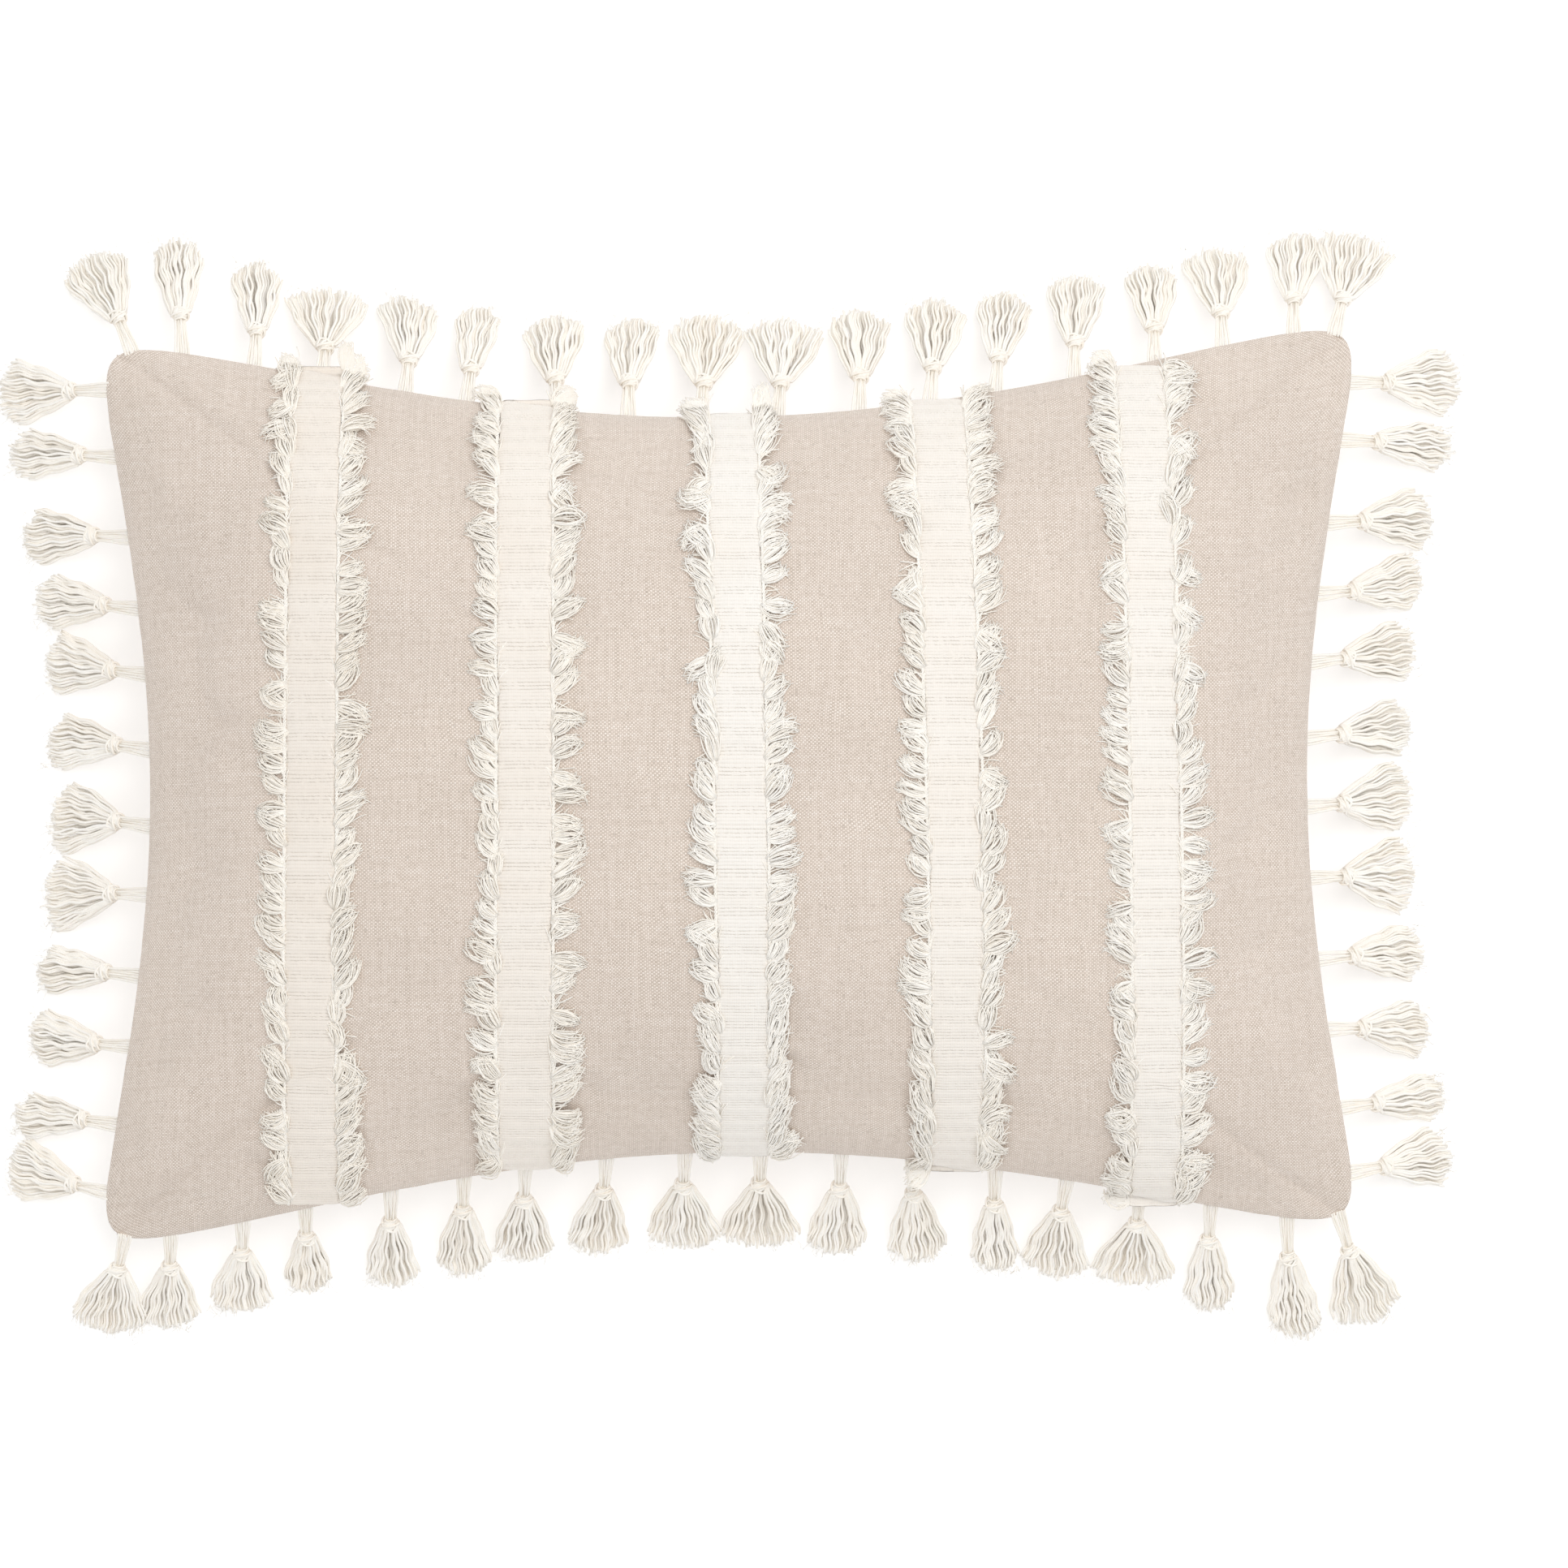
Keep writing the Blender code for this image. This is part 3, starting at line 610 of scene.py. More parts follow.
def simulated_swell():
    """How a filled cover billows: Cloth with pressure on a coarse closed copy, pinned at the seam.

    Gives the movement of the front's and the back's grid points, capped, and the grid's lines.
    """
    u_lines, v_lines = lines(SWELL_COLUMNS), lines(SWELL_ROWS)
    u, v = np.meshgrid(u_lines, v_lines, indexing="ij")
    still = np.zeros((SWELL_COLUMNS, SWELL_ROWS, 3))
    x, y = plan(u, v)
    top = np.stack([x, y, front_height(u, v)], axis=2)
    bottom = np.stack([x, y, back_height(u, v)], axis=2)
    seam = (abs(u) == 1) | (abs(v) == 1)
    top[seam, 2] = bottom[seam, 2] = seam_height(u, v)[seam]
    count = u.size
    number = np.arange(count).reshape(u.shape)
    under = number + count
    under[seam] = number[seam]
    quads = grid_quads(SWELL_COLUMNS, SWELL_ROWS)
    below = under.ravel()[grid_quads(SWELL_COLUMNS, SWELL_ROWS, 0, True)]
    points = np.concatenate([top.reshape(-1, 3), bottom.reshape(-1, 3)])
    mesh = bpy.data.meshes.new("swell")
    mesh.from_pydata(points.tolist(), [], np.concatenate([quads, below]).tolist())
    obj = bpy.data.objects.new("swell", mesh)
    bpy.context.scene.collection.objects.link(obj)
    pins = obj.vertex_groups.new(name="pins")
    resting = np.concatenate([np.zeros(count, bool), bottom[..., 2].ravel() < 2 * MM])
    held = np.concatenate([seam.ravel(), seam.ravel()]) | resting
    pins.add(np.flatnonzero(held).tolist(), 1.0, "REPLACE")
    cloth = obj.modifiers.new("Cloth", "CLOTH")
    settings = cloth.settings
    settings.quality = 6
    settings.mass = 0.25
    settings.tension_stiffness = settings.compression_stiffness = 12
    settings.bending_stiffness = 0.4
    settings.use_pressure = True
    settings.uniform_pressure_force = 4.0
    settings.shrink_min = settings.shrink_max = -0.012
    settings.vertex_group_mass = "pins"
    settings.effector_weights.gravity = 0.0
    cloth.collision_settings.use_collision = False
    cloth.point_cache.frame_start, cloth.point_cache.frame_end = 1, SWELL_FRAMES
    for frame_number in range(1, SWELL_FRAMES + 1):
        bpy.context.scene.frame_set(frame_number)
    settled = obj.evaluated_get(bpy.context.evaluated_depsgraph_get()).data
    after = np.empty(len(settled.vertices) * 3)
    settled.vertices.foreach_get("co", after)
    moved = after.reshape(-1, 3) - points
    bpy.data.objects.remove(obj)
    bpy.data.meshes.remove(mesh)
    bpy.context.scene.frame_set(1)
    size = np.maximum(np.linalg.norm(moved, axis=1, keepdims=True), 1e-9)
    moved *= SWELL_CAP * np.tanh(size / SWELL_CAP) / size
    front_move = moved[:count].reshape(still.shape)
    back_move = moved[count:].reshape(still.shape)
    for field in (front_move, back_move):
        field[seam] = 0
    return {1: front_move, -1: back_move}, u_lines, v_lines


def cubic_sample(grid, i, j):
    """Smooth Catmull-Rom reading of grid at fractional rows and columns."""
    i0, j0 = np.floor(i).astype(int), np.floor(j).astype(int)

    def weights(t):
        return (-0.5 * t + t**2 - 0.5 * t**3, 1 - 2.5 * t**2 + 1.5 * t**3,
                0.5 * t + 2 * t**2 - 1.5 * t**3, -0.5 * t**2 + 0.5 * t**3)

    total = np.zeros((*i.shape, grid.shape[2]))
    for a, wa in enumerate(weights(i - i0), start=-1):
        for b, wb in enumerate(weights(j - j0), start=-1):
            row = np.clip(i0 + a, 0, grid.shape[0] - 1)
            column = np.clip(j0 + b, 0, grid.shape[1] - 1)
            total += grid[row, column] * (wa * wb)[..., None]
    return total


swell_fields, swell_u, swell_v = simulated_swell()


class CoverPanel:
    """One panel of the cover on a grid in (u, v), which anything on it can be placed by.

    Each column of the grid runs from v_start to v_end, with rows at fractions t of that.
    """

    def __init__(self, u_lines, t_lines, v_start, v_end, height, side, seed):
        self.u_lines, self.t_lines = u_lines, t_lines
        self.v_start = np.broadcast_to(v_start, u_lines.shape)
        self.v_end = np.broadcast_to(v_end, u_lines.shape)
        v_grid = self.v_start[:, None] + (self.v_end - self.v_start)[:, None] * t_lines
        u = np.broadcast_to(u_lines[:, None], v_grid.shape)
        edge = seam_distance(u, v_grid)
        tuck = 0.8 * MM * np.exp(-edge / (0.6 * MM))
        x, y = plan(u, v_grid, tuck)
        base = np.stack([x, y, height(u, v_grid)], axis=2)
        normals = grid_normals(base) * side
        inside = smooth(edge / (25 * MM))
        offset = seam_puckers(u, v_grid, seed) + filling_lumps(x, y, seed) * inside
        i = np.interp(u, swell_u, np.arange(SWELL_COLUMNS))
        j = np.interp(v_grid, swell_v, np.arange(SWELL_ROWS))
        swell = cubic_sample(swell_fields[side], i, j) * inside[..., None]
        inward = np.sum(swell * normals, axis=2) + offset
        kept_out = np.maximum(inward, -DEEPEST_DIP * inside) - inward
        self.points = base + swell + normals * (offset + kept_out)[..., None]
        self.side = side

    def flatten_below(self, level):
        """Rest on the floor: nothing goes lower than level."""
        self.points[..., 2] = np.maximum(self.points[..., 2], level)

    def update_normals(self):
        self.normals = grid_normals(self.points) * self.side

    def cloth(self):
        """Millimetres along the threads, counted over the surface from the middle."""
        across = np.linalg.norm(np.diff(self.points, axis=0), axis=2)
        along = np.linalg.norm(np.diff(self.points, axis=1), axis=2)
        run_x = np.concatenate([np.zeros((1, across.shape[1])), np.cumsum(across, axis=0)])
        run_y = np.concatenate([np.zeros((along.shape[0], 1)), np.cumsum(along, axis=1)], axis=1)
        run_x -= run_x[len(run_x) // 2]
        run_y -= run_y[:, run_y.shape[1] // 2][:, None]
        return np.stack([run_x, run_y, np.zeros_like(run_x)], axis=2) / MM

    def make(self, name, material):
        points, quads = closed_sheet(self.points, self.points - self.normals * FABRIC, self.side < 0)
        cloth = self.cloth().reshape(-1, 3)
        return make_piece(name, points, quads, [], material, "linen", cloth=np.concatenate([cloth, cloth]))

    def sample(self, x, y):
        """Points and normals at places in plan; past the seam they carry on outwards."""
        u, v = place_on_cover(x, y)
        i = np.interp(u, self.u_lines, np.arange(len(self.u_lines)))
        start, end = (np.interp(u, self.u_lines, values) for values in (self.v_start, self.v_end))
        j = np.interp((v - start) / (end - start), self.t_lines, np.arange(len(self.t_lines)))
        i0 = np.clip(i.astype(int), 0, self.points.shape[0] - 2)
        j0 = np.clip(j.astype(int), 0, self.points.shape[1] - 2)
        fi, fj = (i - i0)[..., None], (j - j0)[..., None]

        def blend(grid):
            low = grid[i0, j0] * (1 - fi) + grid[i0 + 1, j0] * fi
            high = grid[i0, j0 + 1] * (1 - fi) + grid[i0 + 1, j0 + 1] * fi
            return low * (1 - fj) + high * fj

        points = blend(self.points)
        past = np.stack([x - points[..., 0], y - points[..., 1], np.zeros_like(x)], axis=-1)
        return points + past, unit(blend(self.normals))

    def above(self, x, y, lift):
        """Points at places in plan, lifted off the surface."""
        points, normals = self.sample(x, y)
        return points + normals * lift[..., None]


def front_panel():
    t_lines = (lines(COVER_ROWS) + 1) / 2
    return CoverPanel(lines(COVER_COLUMNS), t_lines, -1.0, 1.0, front_height, 1, seed=11)


ZIP_Y = (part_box("zipper_coil_upper")[0].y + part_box("zipper_coil_lower")[1].y) / 2
HALF_SLOT = 4.5 * MM
SLOT_END_U, HEM_END_U = 0.70, 0.74
HEM_STITCH_REACH = 176 * MM
HEM_STITCH_OFFSET = 7.5 * MM
STITCH_PITCH, STITCH_LENGTH = 3.2 * MM, 2.6 * MM


def slot_half_width(u):
    taper = np.clip((HEM_END_U - abs(u)) / (HEM_END_U - SLOT_END_U), 0, 1)
    return RIM_GAP + (HALF_SLOT - RIM_GAP) * taper


def back_panel(side, rows):
    """The back above (side 1) or below (side -1) the zipper, from its hem's fold to the seam."""
    u_lines = lines(COVER_COLUMNS)
    slot_v = (ZIP_Y + side * slot_half_width(u_lines)) / half_height_at(u_lines)
    t_lines = lines(2 * rows)[rows:]
    t_lines = (t_lines - t_lines[0]) / (t_lines[-1] - t_lines[0])
    ends = (slot_v, 1.0)
    if side < 0:
        t_lines = 1 - t_lines[::-1]
        ends = (-1.0, slot_v)
    panel = CoverPanel(u_lines, t_lines, *ends, back_height, -1, seed=31 + side)
    panel.flatten_below(0.0)
    return panel


linen = linen_material()
cotton = cotton_material()
tape_cotton = tape_material()

front = front_panel()
front.update_normals()
stand_for("cover_front", front.make("linen_front", linen))


def hem_stitches(name, panel, side):
    """A row of lockstitches along the hem beside the zipper."""
    yarns = Yarns()
    starts = np.arange(-HEM_STITCH_REACH, HEM_STITCH_REACH, STITCH_PITCH)
    q = np.linspace(0, 1, 6)
    x = starts[:, None] + STITCH_LENGTH * q
    y = np.full(x.shape, ZIP_Y + side * HEM_STITCH_OFFSET)
    paths = panel.above(x, y, 0.05 * MM + 0.3 * MM * np.sin(math.pi * q))
    paths[..., 2] = np.maximum(paths[..., 2], 0.2 * MM)
    yarns.add(paths, 0.2 * MM, tones=np.full(len(starts), 0.3))
    piece = yarns.make(f"hem_stitches_{name}", cotton, "cotton")
    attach(piece, ROOT)


for side, name, rows in ((1, "upper", 110), (-1, "lower", 64)):
    back = back_panel(side, rows)
    back.update_normals()
    stand_for(f"cover_back_{name}", back.make(f"linen_back_{name}", linen))
    hem_stitches(name, back, side)


# ==== Insert: a casing of two panels, and the filling ====

CASING_DEPTH, CASING_THICKNESS, FILL_DEPTH = 4.5 * MM, 0.8 * MM, 6.0 * MM
# The zipper lies between the cover and the casing, which lifts over it by this much.
ZIPPER_GROOVE = 3.6 * MM
INSERT_COLUMNS, INSERT_ROWS = 96, 70


def insert_layer(height, depth, lumps=0.0, seed=0):
    u, v = np.meshgrid(lines(INSERT_COLUMNS), lines(INSERT_ROWS), indexing="ij")
    x, y = plan(u, v, depth)
    edge = np.minimum((1 - abs(u)) * HALF_WIDTH, (1 - abs(v)) * HALF_HEIGHT)
    z = height(u, v, depth)
    if height is back_height:
        beside = smooth((abs(y - ZIP_Y) - 15 * MM) / (12 * MM))
        beyond = smooth((abs(x) - 182 * MM) / (14 * MM))
        z = np.maximum(z, depth + ZIPPER_GROOVE * (1 - np.maximum(beside, beyond)))
    z = z + lumps * soft_noise(x, y, 22 * MM, seed) * smooth(edge / (30 * MM))
    return np.stack([x, y, z], axis=2)


def casing_panel(name, height, side, material):
    outside = insert_layer(height, CASING_DEPTH)
    inside = outside - grid_normals(outside) * side * CASING_THICKNESS
    points, quads = closed_sheet(outside, inside, side < 0)
    piece = make_piece(f"casing_{name}", points, quads, [], material, "casing")
    stand_for(f"insert_casing_{name}", piece)


def filling(material):
    top = insert_layer(front_height, FILL_DEPTH, lumps=0.8 * MM, seed=51)
    bottom = insert_layer(back_height, FILL_DEPTH)
    points, quads = closed_sheet(top, bottom)
    piece = make_piece("filling", points, quads, [], material, "filling")
    stand_for("insert_fill", piece)


casing_cotton = plain_fabric_material("casing_cotton", (0.86, 0.85, 0.82), (0.93, 0.92, 0.90), 0.5)
casing_panel("front", front_height, 1, casing_cotton)
casing_panel("back", back_height, -1, casing_cotton)
filling(fibre_fill_material())


# ==== Zipper ====

COIL_PITCH = 1.3 * MM
COIL_WIRE = 0.32 * MM
# How far each coil reaches past its CAD solid, so that the two mesh.
COIL_MESH = 0.15 * MM
STEPS_PER_TURN = 12


def zipper_coil(name, side, material):
    """One side's coil: a round wire wound evenly, half a turn out of step with the other's."""
    low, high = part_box(f"zipper_coil_{name}")
    centre = (low + high) / 2
    turns = int((high.x - low.x - 2 * COIL_WIRE) / COIL_PITCH)
    t = np.linspace(0, turns, turns * STEPS_PER_TURN + 1)
    angle = 2 * math.pi * t + (math.pi if side > 0 else 0)
    reach_y = (high.y - low.y) / 2 + COIL_MESH - COIL_WIRE
    reach_z = (high.z - low.z) / 2 - COIL_WIRE
    x = low.x + COIL_WIRE + t * COIL_PITCH
    path = np.stack([x, centre.y + reach_y * np.cos(angle), centre.z + reach_z * np.sin(angle)], axis=1)
    yarns = Yarns()
    yarns.add(path[None], COIL_WIRE, up=(1, 0.01, 0.02))
    stand_for(f"zipper_coil_{name}", yarns.make(f"coil_{name}", material, "zipper_nylon"))


nylon = nylon_material()
for side, name in ((1, "upper"), (-1, "lower")):
    zipper_coil(name, side, nylon)
webbing = plain_fabric_material("webbing", (0.62, 0.53, 0.44), (0.76, 0.68, 0.59), 0.35)
nickel = metal_material()
for material, parts in ((webbing, ("tape_upper", "tape_lower")),
                        (nickel, ("slider", "pull", "stop_top", "stop_bottom"))):
    for part in parts:
        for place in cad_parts[f"zipper_{part}"].material_slots:
            place.material = material


# ==== Woven tapes and their fringes ====

# Where each tape's middle line crosses the top seam, the crown and the bottom seam.
STRIPE_LINES = np.array(((-167, -166, -169), (-83, -80, -83), (0, 5.5, 6.5), (83.5, 90, 92.5),
                         (167, 170.5, 174))) * MM
CORE_WIDTHS = (20.5 * MM, 22 * MM, 20.5 * MM, 21.5 * MM, 20 * MM)
TAPE_TONES = (0.0, 0.3, 1.0, 0.6, 0.8)
CORE_LIFT = 0.9 * MM
CORE_COLUMNS = 34
STEPS_PER_RIB = 4
TUFT_PITCH = BAND_PITCH
YARNS_PER_TUFT, TUFT_RINGS = 34, 6
TUFT_LEAN = 38
# Share of the tufts that lean the other way.
TUFTS_FLIPPED = 0.13
FRINGE_LONGER_ON_RIGHT = 1 * MM
TUFT_YARN, STRAY_YARN, EDGE_YARN = 0.29 * MM, 0.26 * MM, 0.42 * MM
# How far in from the core's edge the fringe starts.
FRINGE_TUCK = 0.3 * MM
STRAY_PITCH = 0.8 * MM
EDGE_STEP = 0.8 * MM
EDGE_STITCH = 2.9 * MM


def walk(angle, step):
    """How far out and how far along a yarn has come at each point, turning by angle at every step."""
    out = np.cumsum(np.cos(angle) * step, axis=-1) - np.cos(angle[..., :1]) * step
    along = np.cumsum(np.sin(angle) * step, axis=-1) - np.sin(angle[..., :1]) * step
    return out, along


class Tape:
    """A woven tape down the front: its ribbed core, and the fringe on both its edges."""

    def __init__(self, number, line, width, tone):
        self.number, self.line, self.width, self.tone = number, line, width, tone
        self.y_fine, self.run_fine = self.evenly_along()
        self.length = self.run_fine[-1]
        self.rng = np.random.default_rng(400 + number)
        self.yarns = Yarns()

    def middle(self, y):
        """x of the tape's middle line at y, a smooth curve through its three places."""
        top, crown, bottom = self.line
        t = y / HALF_HEIGHT
        return crown + (top - bottom) / 2 * t + ((top + bottom) / 2 - crown) * t * t

    def evenly_along(self):
        """Many places down the tape: y, and how far along the cover each lies."""
        end_top = half_height_at(self.middle(HALF_HEIGHT) / HALF_WIDTH)
        end_bottom = half_height_at(self.middle(-HALF_HEIGHT) / HALF_WIDTH)
        y = np.sin(np.linspace(-1, 1, 4001) * math.pi / 2)
        y = np.where(y > 0, y * end_top, y * end_bottom)
        points, _ = front.sample(self.middle(y), y)
        return y, np.concatenate([[0], np.cumsum(np.linalg.norm(np.diff(points, axis=0), axis=1))])

    def y_at(self, run):
        return np.interp(run, self.run_fine, self.y_fine)

    def core(self):
        number = self.number
        run = np.linspace(0, self.length, int(self.length / (RIB_PITCH / STEPS_PER_RIB)))
        y = self.y_at(run)
        sideways = np.linspace(-0.5, 0.5, CORE_COLUMNS)
        wobble = 0.5 * MM * soft_noise(run, number * 1.0, 14 * MM, 60 + number)
        width = self.width * (1 + 0.03 * soft_noise(run, 0.0, 20 * MM, 70 + number))
        d = sideways[:, None] * width[None, :] + wobble[None, :]
        x = self.middle(y)[None, :] + d
        points, normals = front.sample(x, np.broadcast_to(y[None, :], x.shape))
        bent = run[None, :] + 0.6 * MM * soft_noise(d * 0.3, run[None, :], 9 * MM, 85 + number)
        rib = abs(np.sin(math.pi * bent / RIB_PITCH)) ** 0.7
        strength = 0.7 + 0.4 * soft_noise(d, run[None, :], 5 * MM, 80 + number)
        band = 0.2 * MM * np.maximum(0, np.sin(2 * math.pi * bent / BAND_PITCH)) ** 1.5
        edge = (1 - abs(sideways * 2) ** 8)[:, None]
        lift = CORE_LIFT * (0.55 + 0.45 * edge) + (0.34 * MM * rib * strength + band) * edge
        lift = lift + 0.12 * MM * soft_noise(d, run[None, :], 4 * MM, 90 + number)
        points, quads = closed_sheet(points + normals * lift[..., None], points + normals * 0.1 * MM)
        weave = np.stack([d / MM, bent / MM, np.full(d.shape, self.tone)], axis=2).reshape(-1, 3)
        return make_piece(f"tape_{number}", points, quads, [], tape_cotton, "cotton",
                          weave=np.concatenate([weave, weave]))

    def fringe(self):
        for side in (-1, 1):
            self.add_tufts(side)
            self.add_strays(side)
            self.add_edge_stitches(side)
        return self.yarns.make(f"tape_{self.number}_fringe", cotton, "cotton")

    def lay(self, side, y0, out, along, lift):
        """Paths that start at y0 on one edge of the core, lifted off the cover."""
        x = self.middle(y0) + side * (self.width / 2 - FRINGE_TUCK + out)
        return front.above(x, y0 + along, lift)

    def add_tufts(self, side):
        rng = self.rng
        places = np.arange(2 * MM, self.length - 1 * MM, TUFT_PITCH)
        places = places + rng.uniform(-1.2, 1.2, len(places)) * MM
        tufts = len(places)
        lean = TUFT_LEAN + 26 * soft_noise(places, side * 1.0, 55 * MM, 500 + self.number)
        lean = lean + rng.normal(0, 14, tufts)
        flips = rng.uniform(size=tufts) < TUFTS_FLIPPED
        lean = np.radians(np.where(flips, -lean * 0.7, lean))[:, None, None]
        length = rng.uniform(10.5, 14.5, tufts) * MM + FRINGE_LONGER_ON_RIGHT * (side > 0)
        curl = rng.normal(0.35, 0.45, tufts)[:, None, None]
        fat = rng.uniform(3.0, 4.8, tufts)[:, None, None] * MM
        rise = rng.uniform(1.0, 2.2, tufts)[:, None, None] * MM
        shape = (tufts, YARNS_PER_TUFT)
        spread = rng.uniform(-1, 1, shape)[..., None]
        layer = rng.uniform(0, 1, shape)[..., None]
        reach = (length[:, None] * rng.uniform(0.82, 1.05, shape))[..., None]
        fray = rng.normal(0, 0.5, shape)[..., None]
        q = np.linspace(0, 1, TUFT_RINGS)
        angle = lean + curl * (q - 0.3) * 1.2 + fray * q ** 3
        out, along = walk(angle, reach / (TUFT_RINGS - 1))
        offset = spread * (fat * np.sin(math.pi * (0.12 + 0.75 * q)))
        out = out - np.sin(angle) * offset
        along = along + np.cos(angle) * offset
        lift = 0.5 * MM + (0.3 * MM + rise * np.sin(math.pi * q ** 0.8)) * (0.25 + layer)
        paths = self.lay(side, self.y_at(places[:, None, None]), out, along, lift)
        radius = TUFT_YARN * (1 - 0.4 * q ** 2)
        tones = np.clip(0.25 + 0.6 * self.tone + rng.normal(0, 0.25, shape), 0, 1)
        self.yarns.add(paths.reshape(-1, TUFT_RINGS, 3), radius, sides=4, tones=tones.ravel())

    def add_strays(self, side):
        """Loose yarns between the tufts, lower than them and every way round."""
        rng = self.rng
        count = int(self.length / STRAY_PITCH)
        q = np.linspace(0, 1, 5)
        start = rng.uniform(0, self.length, count)
        heading = np.radians(rng.normal(TUFT_LEAN, 32, count))[:, None] + rng.normal(0, 0.5, (count, 1)) * q
        step = (rng.uniform(4.5, 9.5, count) * MM / (len(q) - 1))[:, None]
        out, along = walk(heading, step)
        lift = 0.5 * MM + rng.uniform(0.2, 1.1, (count, 1)) * MM * np.sin(math.pi * q)
        paths = self.lay(side, self.y_at(start)[:, None], out, along, lift)
        self.yarns.add(paths, STRAY_YARN, sides=4, tones=rng.uniform(0.2, 0.9, count))

    def add_edge_stitches(self, side):
        """The chain of stitches along an edge: two yarns that weave past each other."""
        run = np.linspace(0, self.length, int(self.length / EDGE_STEP))
        y = self.y_at(run)
        for phase in (0.0, math.pi):
            turn = 2 * math.pi * run / EDGE_STITCH + phase
            x = self.middle(y) + side * (self.width / 2 + 0.5 * MM) + 0.45 * MM * np.sin(turn)
            path = front.above(x, y, CORE_LIFT + 0.25 * MM * np.cos(turn))
            self.yarns.add(path[None], EDGE_YARN, sides=5, tones=[0.6])


for number, (line, width, tone) in enumerate(zip(STRIPE_LINES, CORE_WIDTHS, TAPE_TONES), start=1):
    tape = Tape(number, line, width, tone)
    core, tufts = tape.core(), tape.fringe()
    stand_for(f"stripe_{number}", core)
    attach(tufts, ROOT)


# ==== Tassels ====

# Per side, in order along it: place in mm, lean in degrees, width at the tips in mm, reach in mm.
TASSELS = {
    "top": (
        (-248, -22, 30, 40), (-224, -4, 21, 44), (-194, 4, 21, 39), (-166, 4, 36, 34), (-132, 7, 26, 36),
        (-107, 6, 18, 36), (-70, -5, 26, 36), (-41, 0, 23, 37), (-11, 3, 33, 39), (20, 5, 33, 37),
        (53, 3, 26, 38), (82, 6, 26, 39), (109, 4, 23, 38), (141, 1, 25, 39), (174, 0, 22, 36),
        (202, -2, 29, 37), (232, -1, 25, 38), (253, 13, 34, 39)),
    "bottom": (
        (-252, -11, 32, 37), (-229, 0, 26, 35), (-199, 0, 26, 34), (-173, 2, 20, 31), (-138, -1, 23, 36),
        (-108, -2, 23, 37), (-83, -2, 25, 35), (-50, -3, 26, 36), (-18, -3, 31, 36), (13, -1, 34, 36),
        (46, -2, 25, 38), (75, 2, 25, 39), (109, -3, 20, 39), (138, -11, 28, 37), (168, -4, 36, 35),
        (197, -3, 21, 40), (229, 1, 22, 46), (256, 17, 31, 43)),
    "left": (
        (162, -1, 28, 41), (134, 4, 21, 40), (101, 4, 24, 40), (72, 6, 23, 39), (45, 7, 27, 38),
        (14, 10, 24, 39), (-17, 10, 31, 38), (-45, 3, 33, 39), (-78, 7, 20, 39), (-107, 4, 24, 38),
        (-139, 9, 19, 39), (-167, 12, 26, 39)),
    "right": (
        (165, 0, 29, 42), (141, -1, 20, 42), (107, 4, 26, 40), (78, 4, 25, 40), (50, 7, 27, 40),
        (19, 7, 25, 40), (-9, 5, 30, 40), (-38, 3, 33, 40), (-71, 6, 24, 40), (-100, 3, 25, 38),
        (-132, 8, 20, 40), (-159, 11, 25, 39)),
}
OUTWARDS = {"top": (0, 1, 0), "bottom": (0, -1, 0), "left": (-1, 0, 0), "right": (1, 0, 0)}
TIP_HEIGHT = 3.2 * MM
DROOP = 1.6
REACH_MORE = 1.5 * MM
# Where the neck and the knot end, as fractions of the reach.
NECK, KNOT_END = 0.29, 0.37
STRANDS, STRAND_POINTS = 6, 8
SKIRT_YARNS, SKIRT_RINGS = 58, 17
FIBRES, FIBRE_RINGS = 36, 5
STRAND_YARN, SKIRT_YARN, TIE_YARN, NECK_YARN, FIBRE = 0.5 * MM, 0.58 * MM, 0.5 * MM, 0.42 * MM, 0.12 * MM
KNOT_WIDTH, KNOT_DEPTH = 3.9 * MM, 3.0 * MM
TASSELS_PER_GROUP = 3


def seam_point(side, place):
    if side in ("top", "bottom"):
        u, v = place / HALF_WIDTH, 1.0 if side == "top" else -1.0
    else:
        u = 1.0 if side == "right" else -1.0
        v = (place - SKEW * u) / HALF_HEIGHT
    x, y = plan(np.array(u), np.array(v))
    return np.array([x, y, seam_height(u, v)])


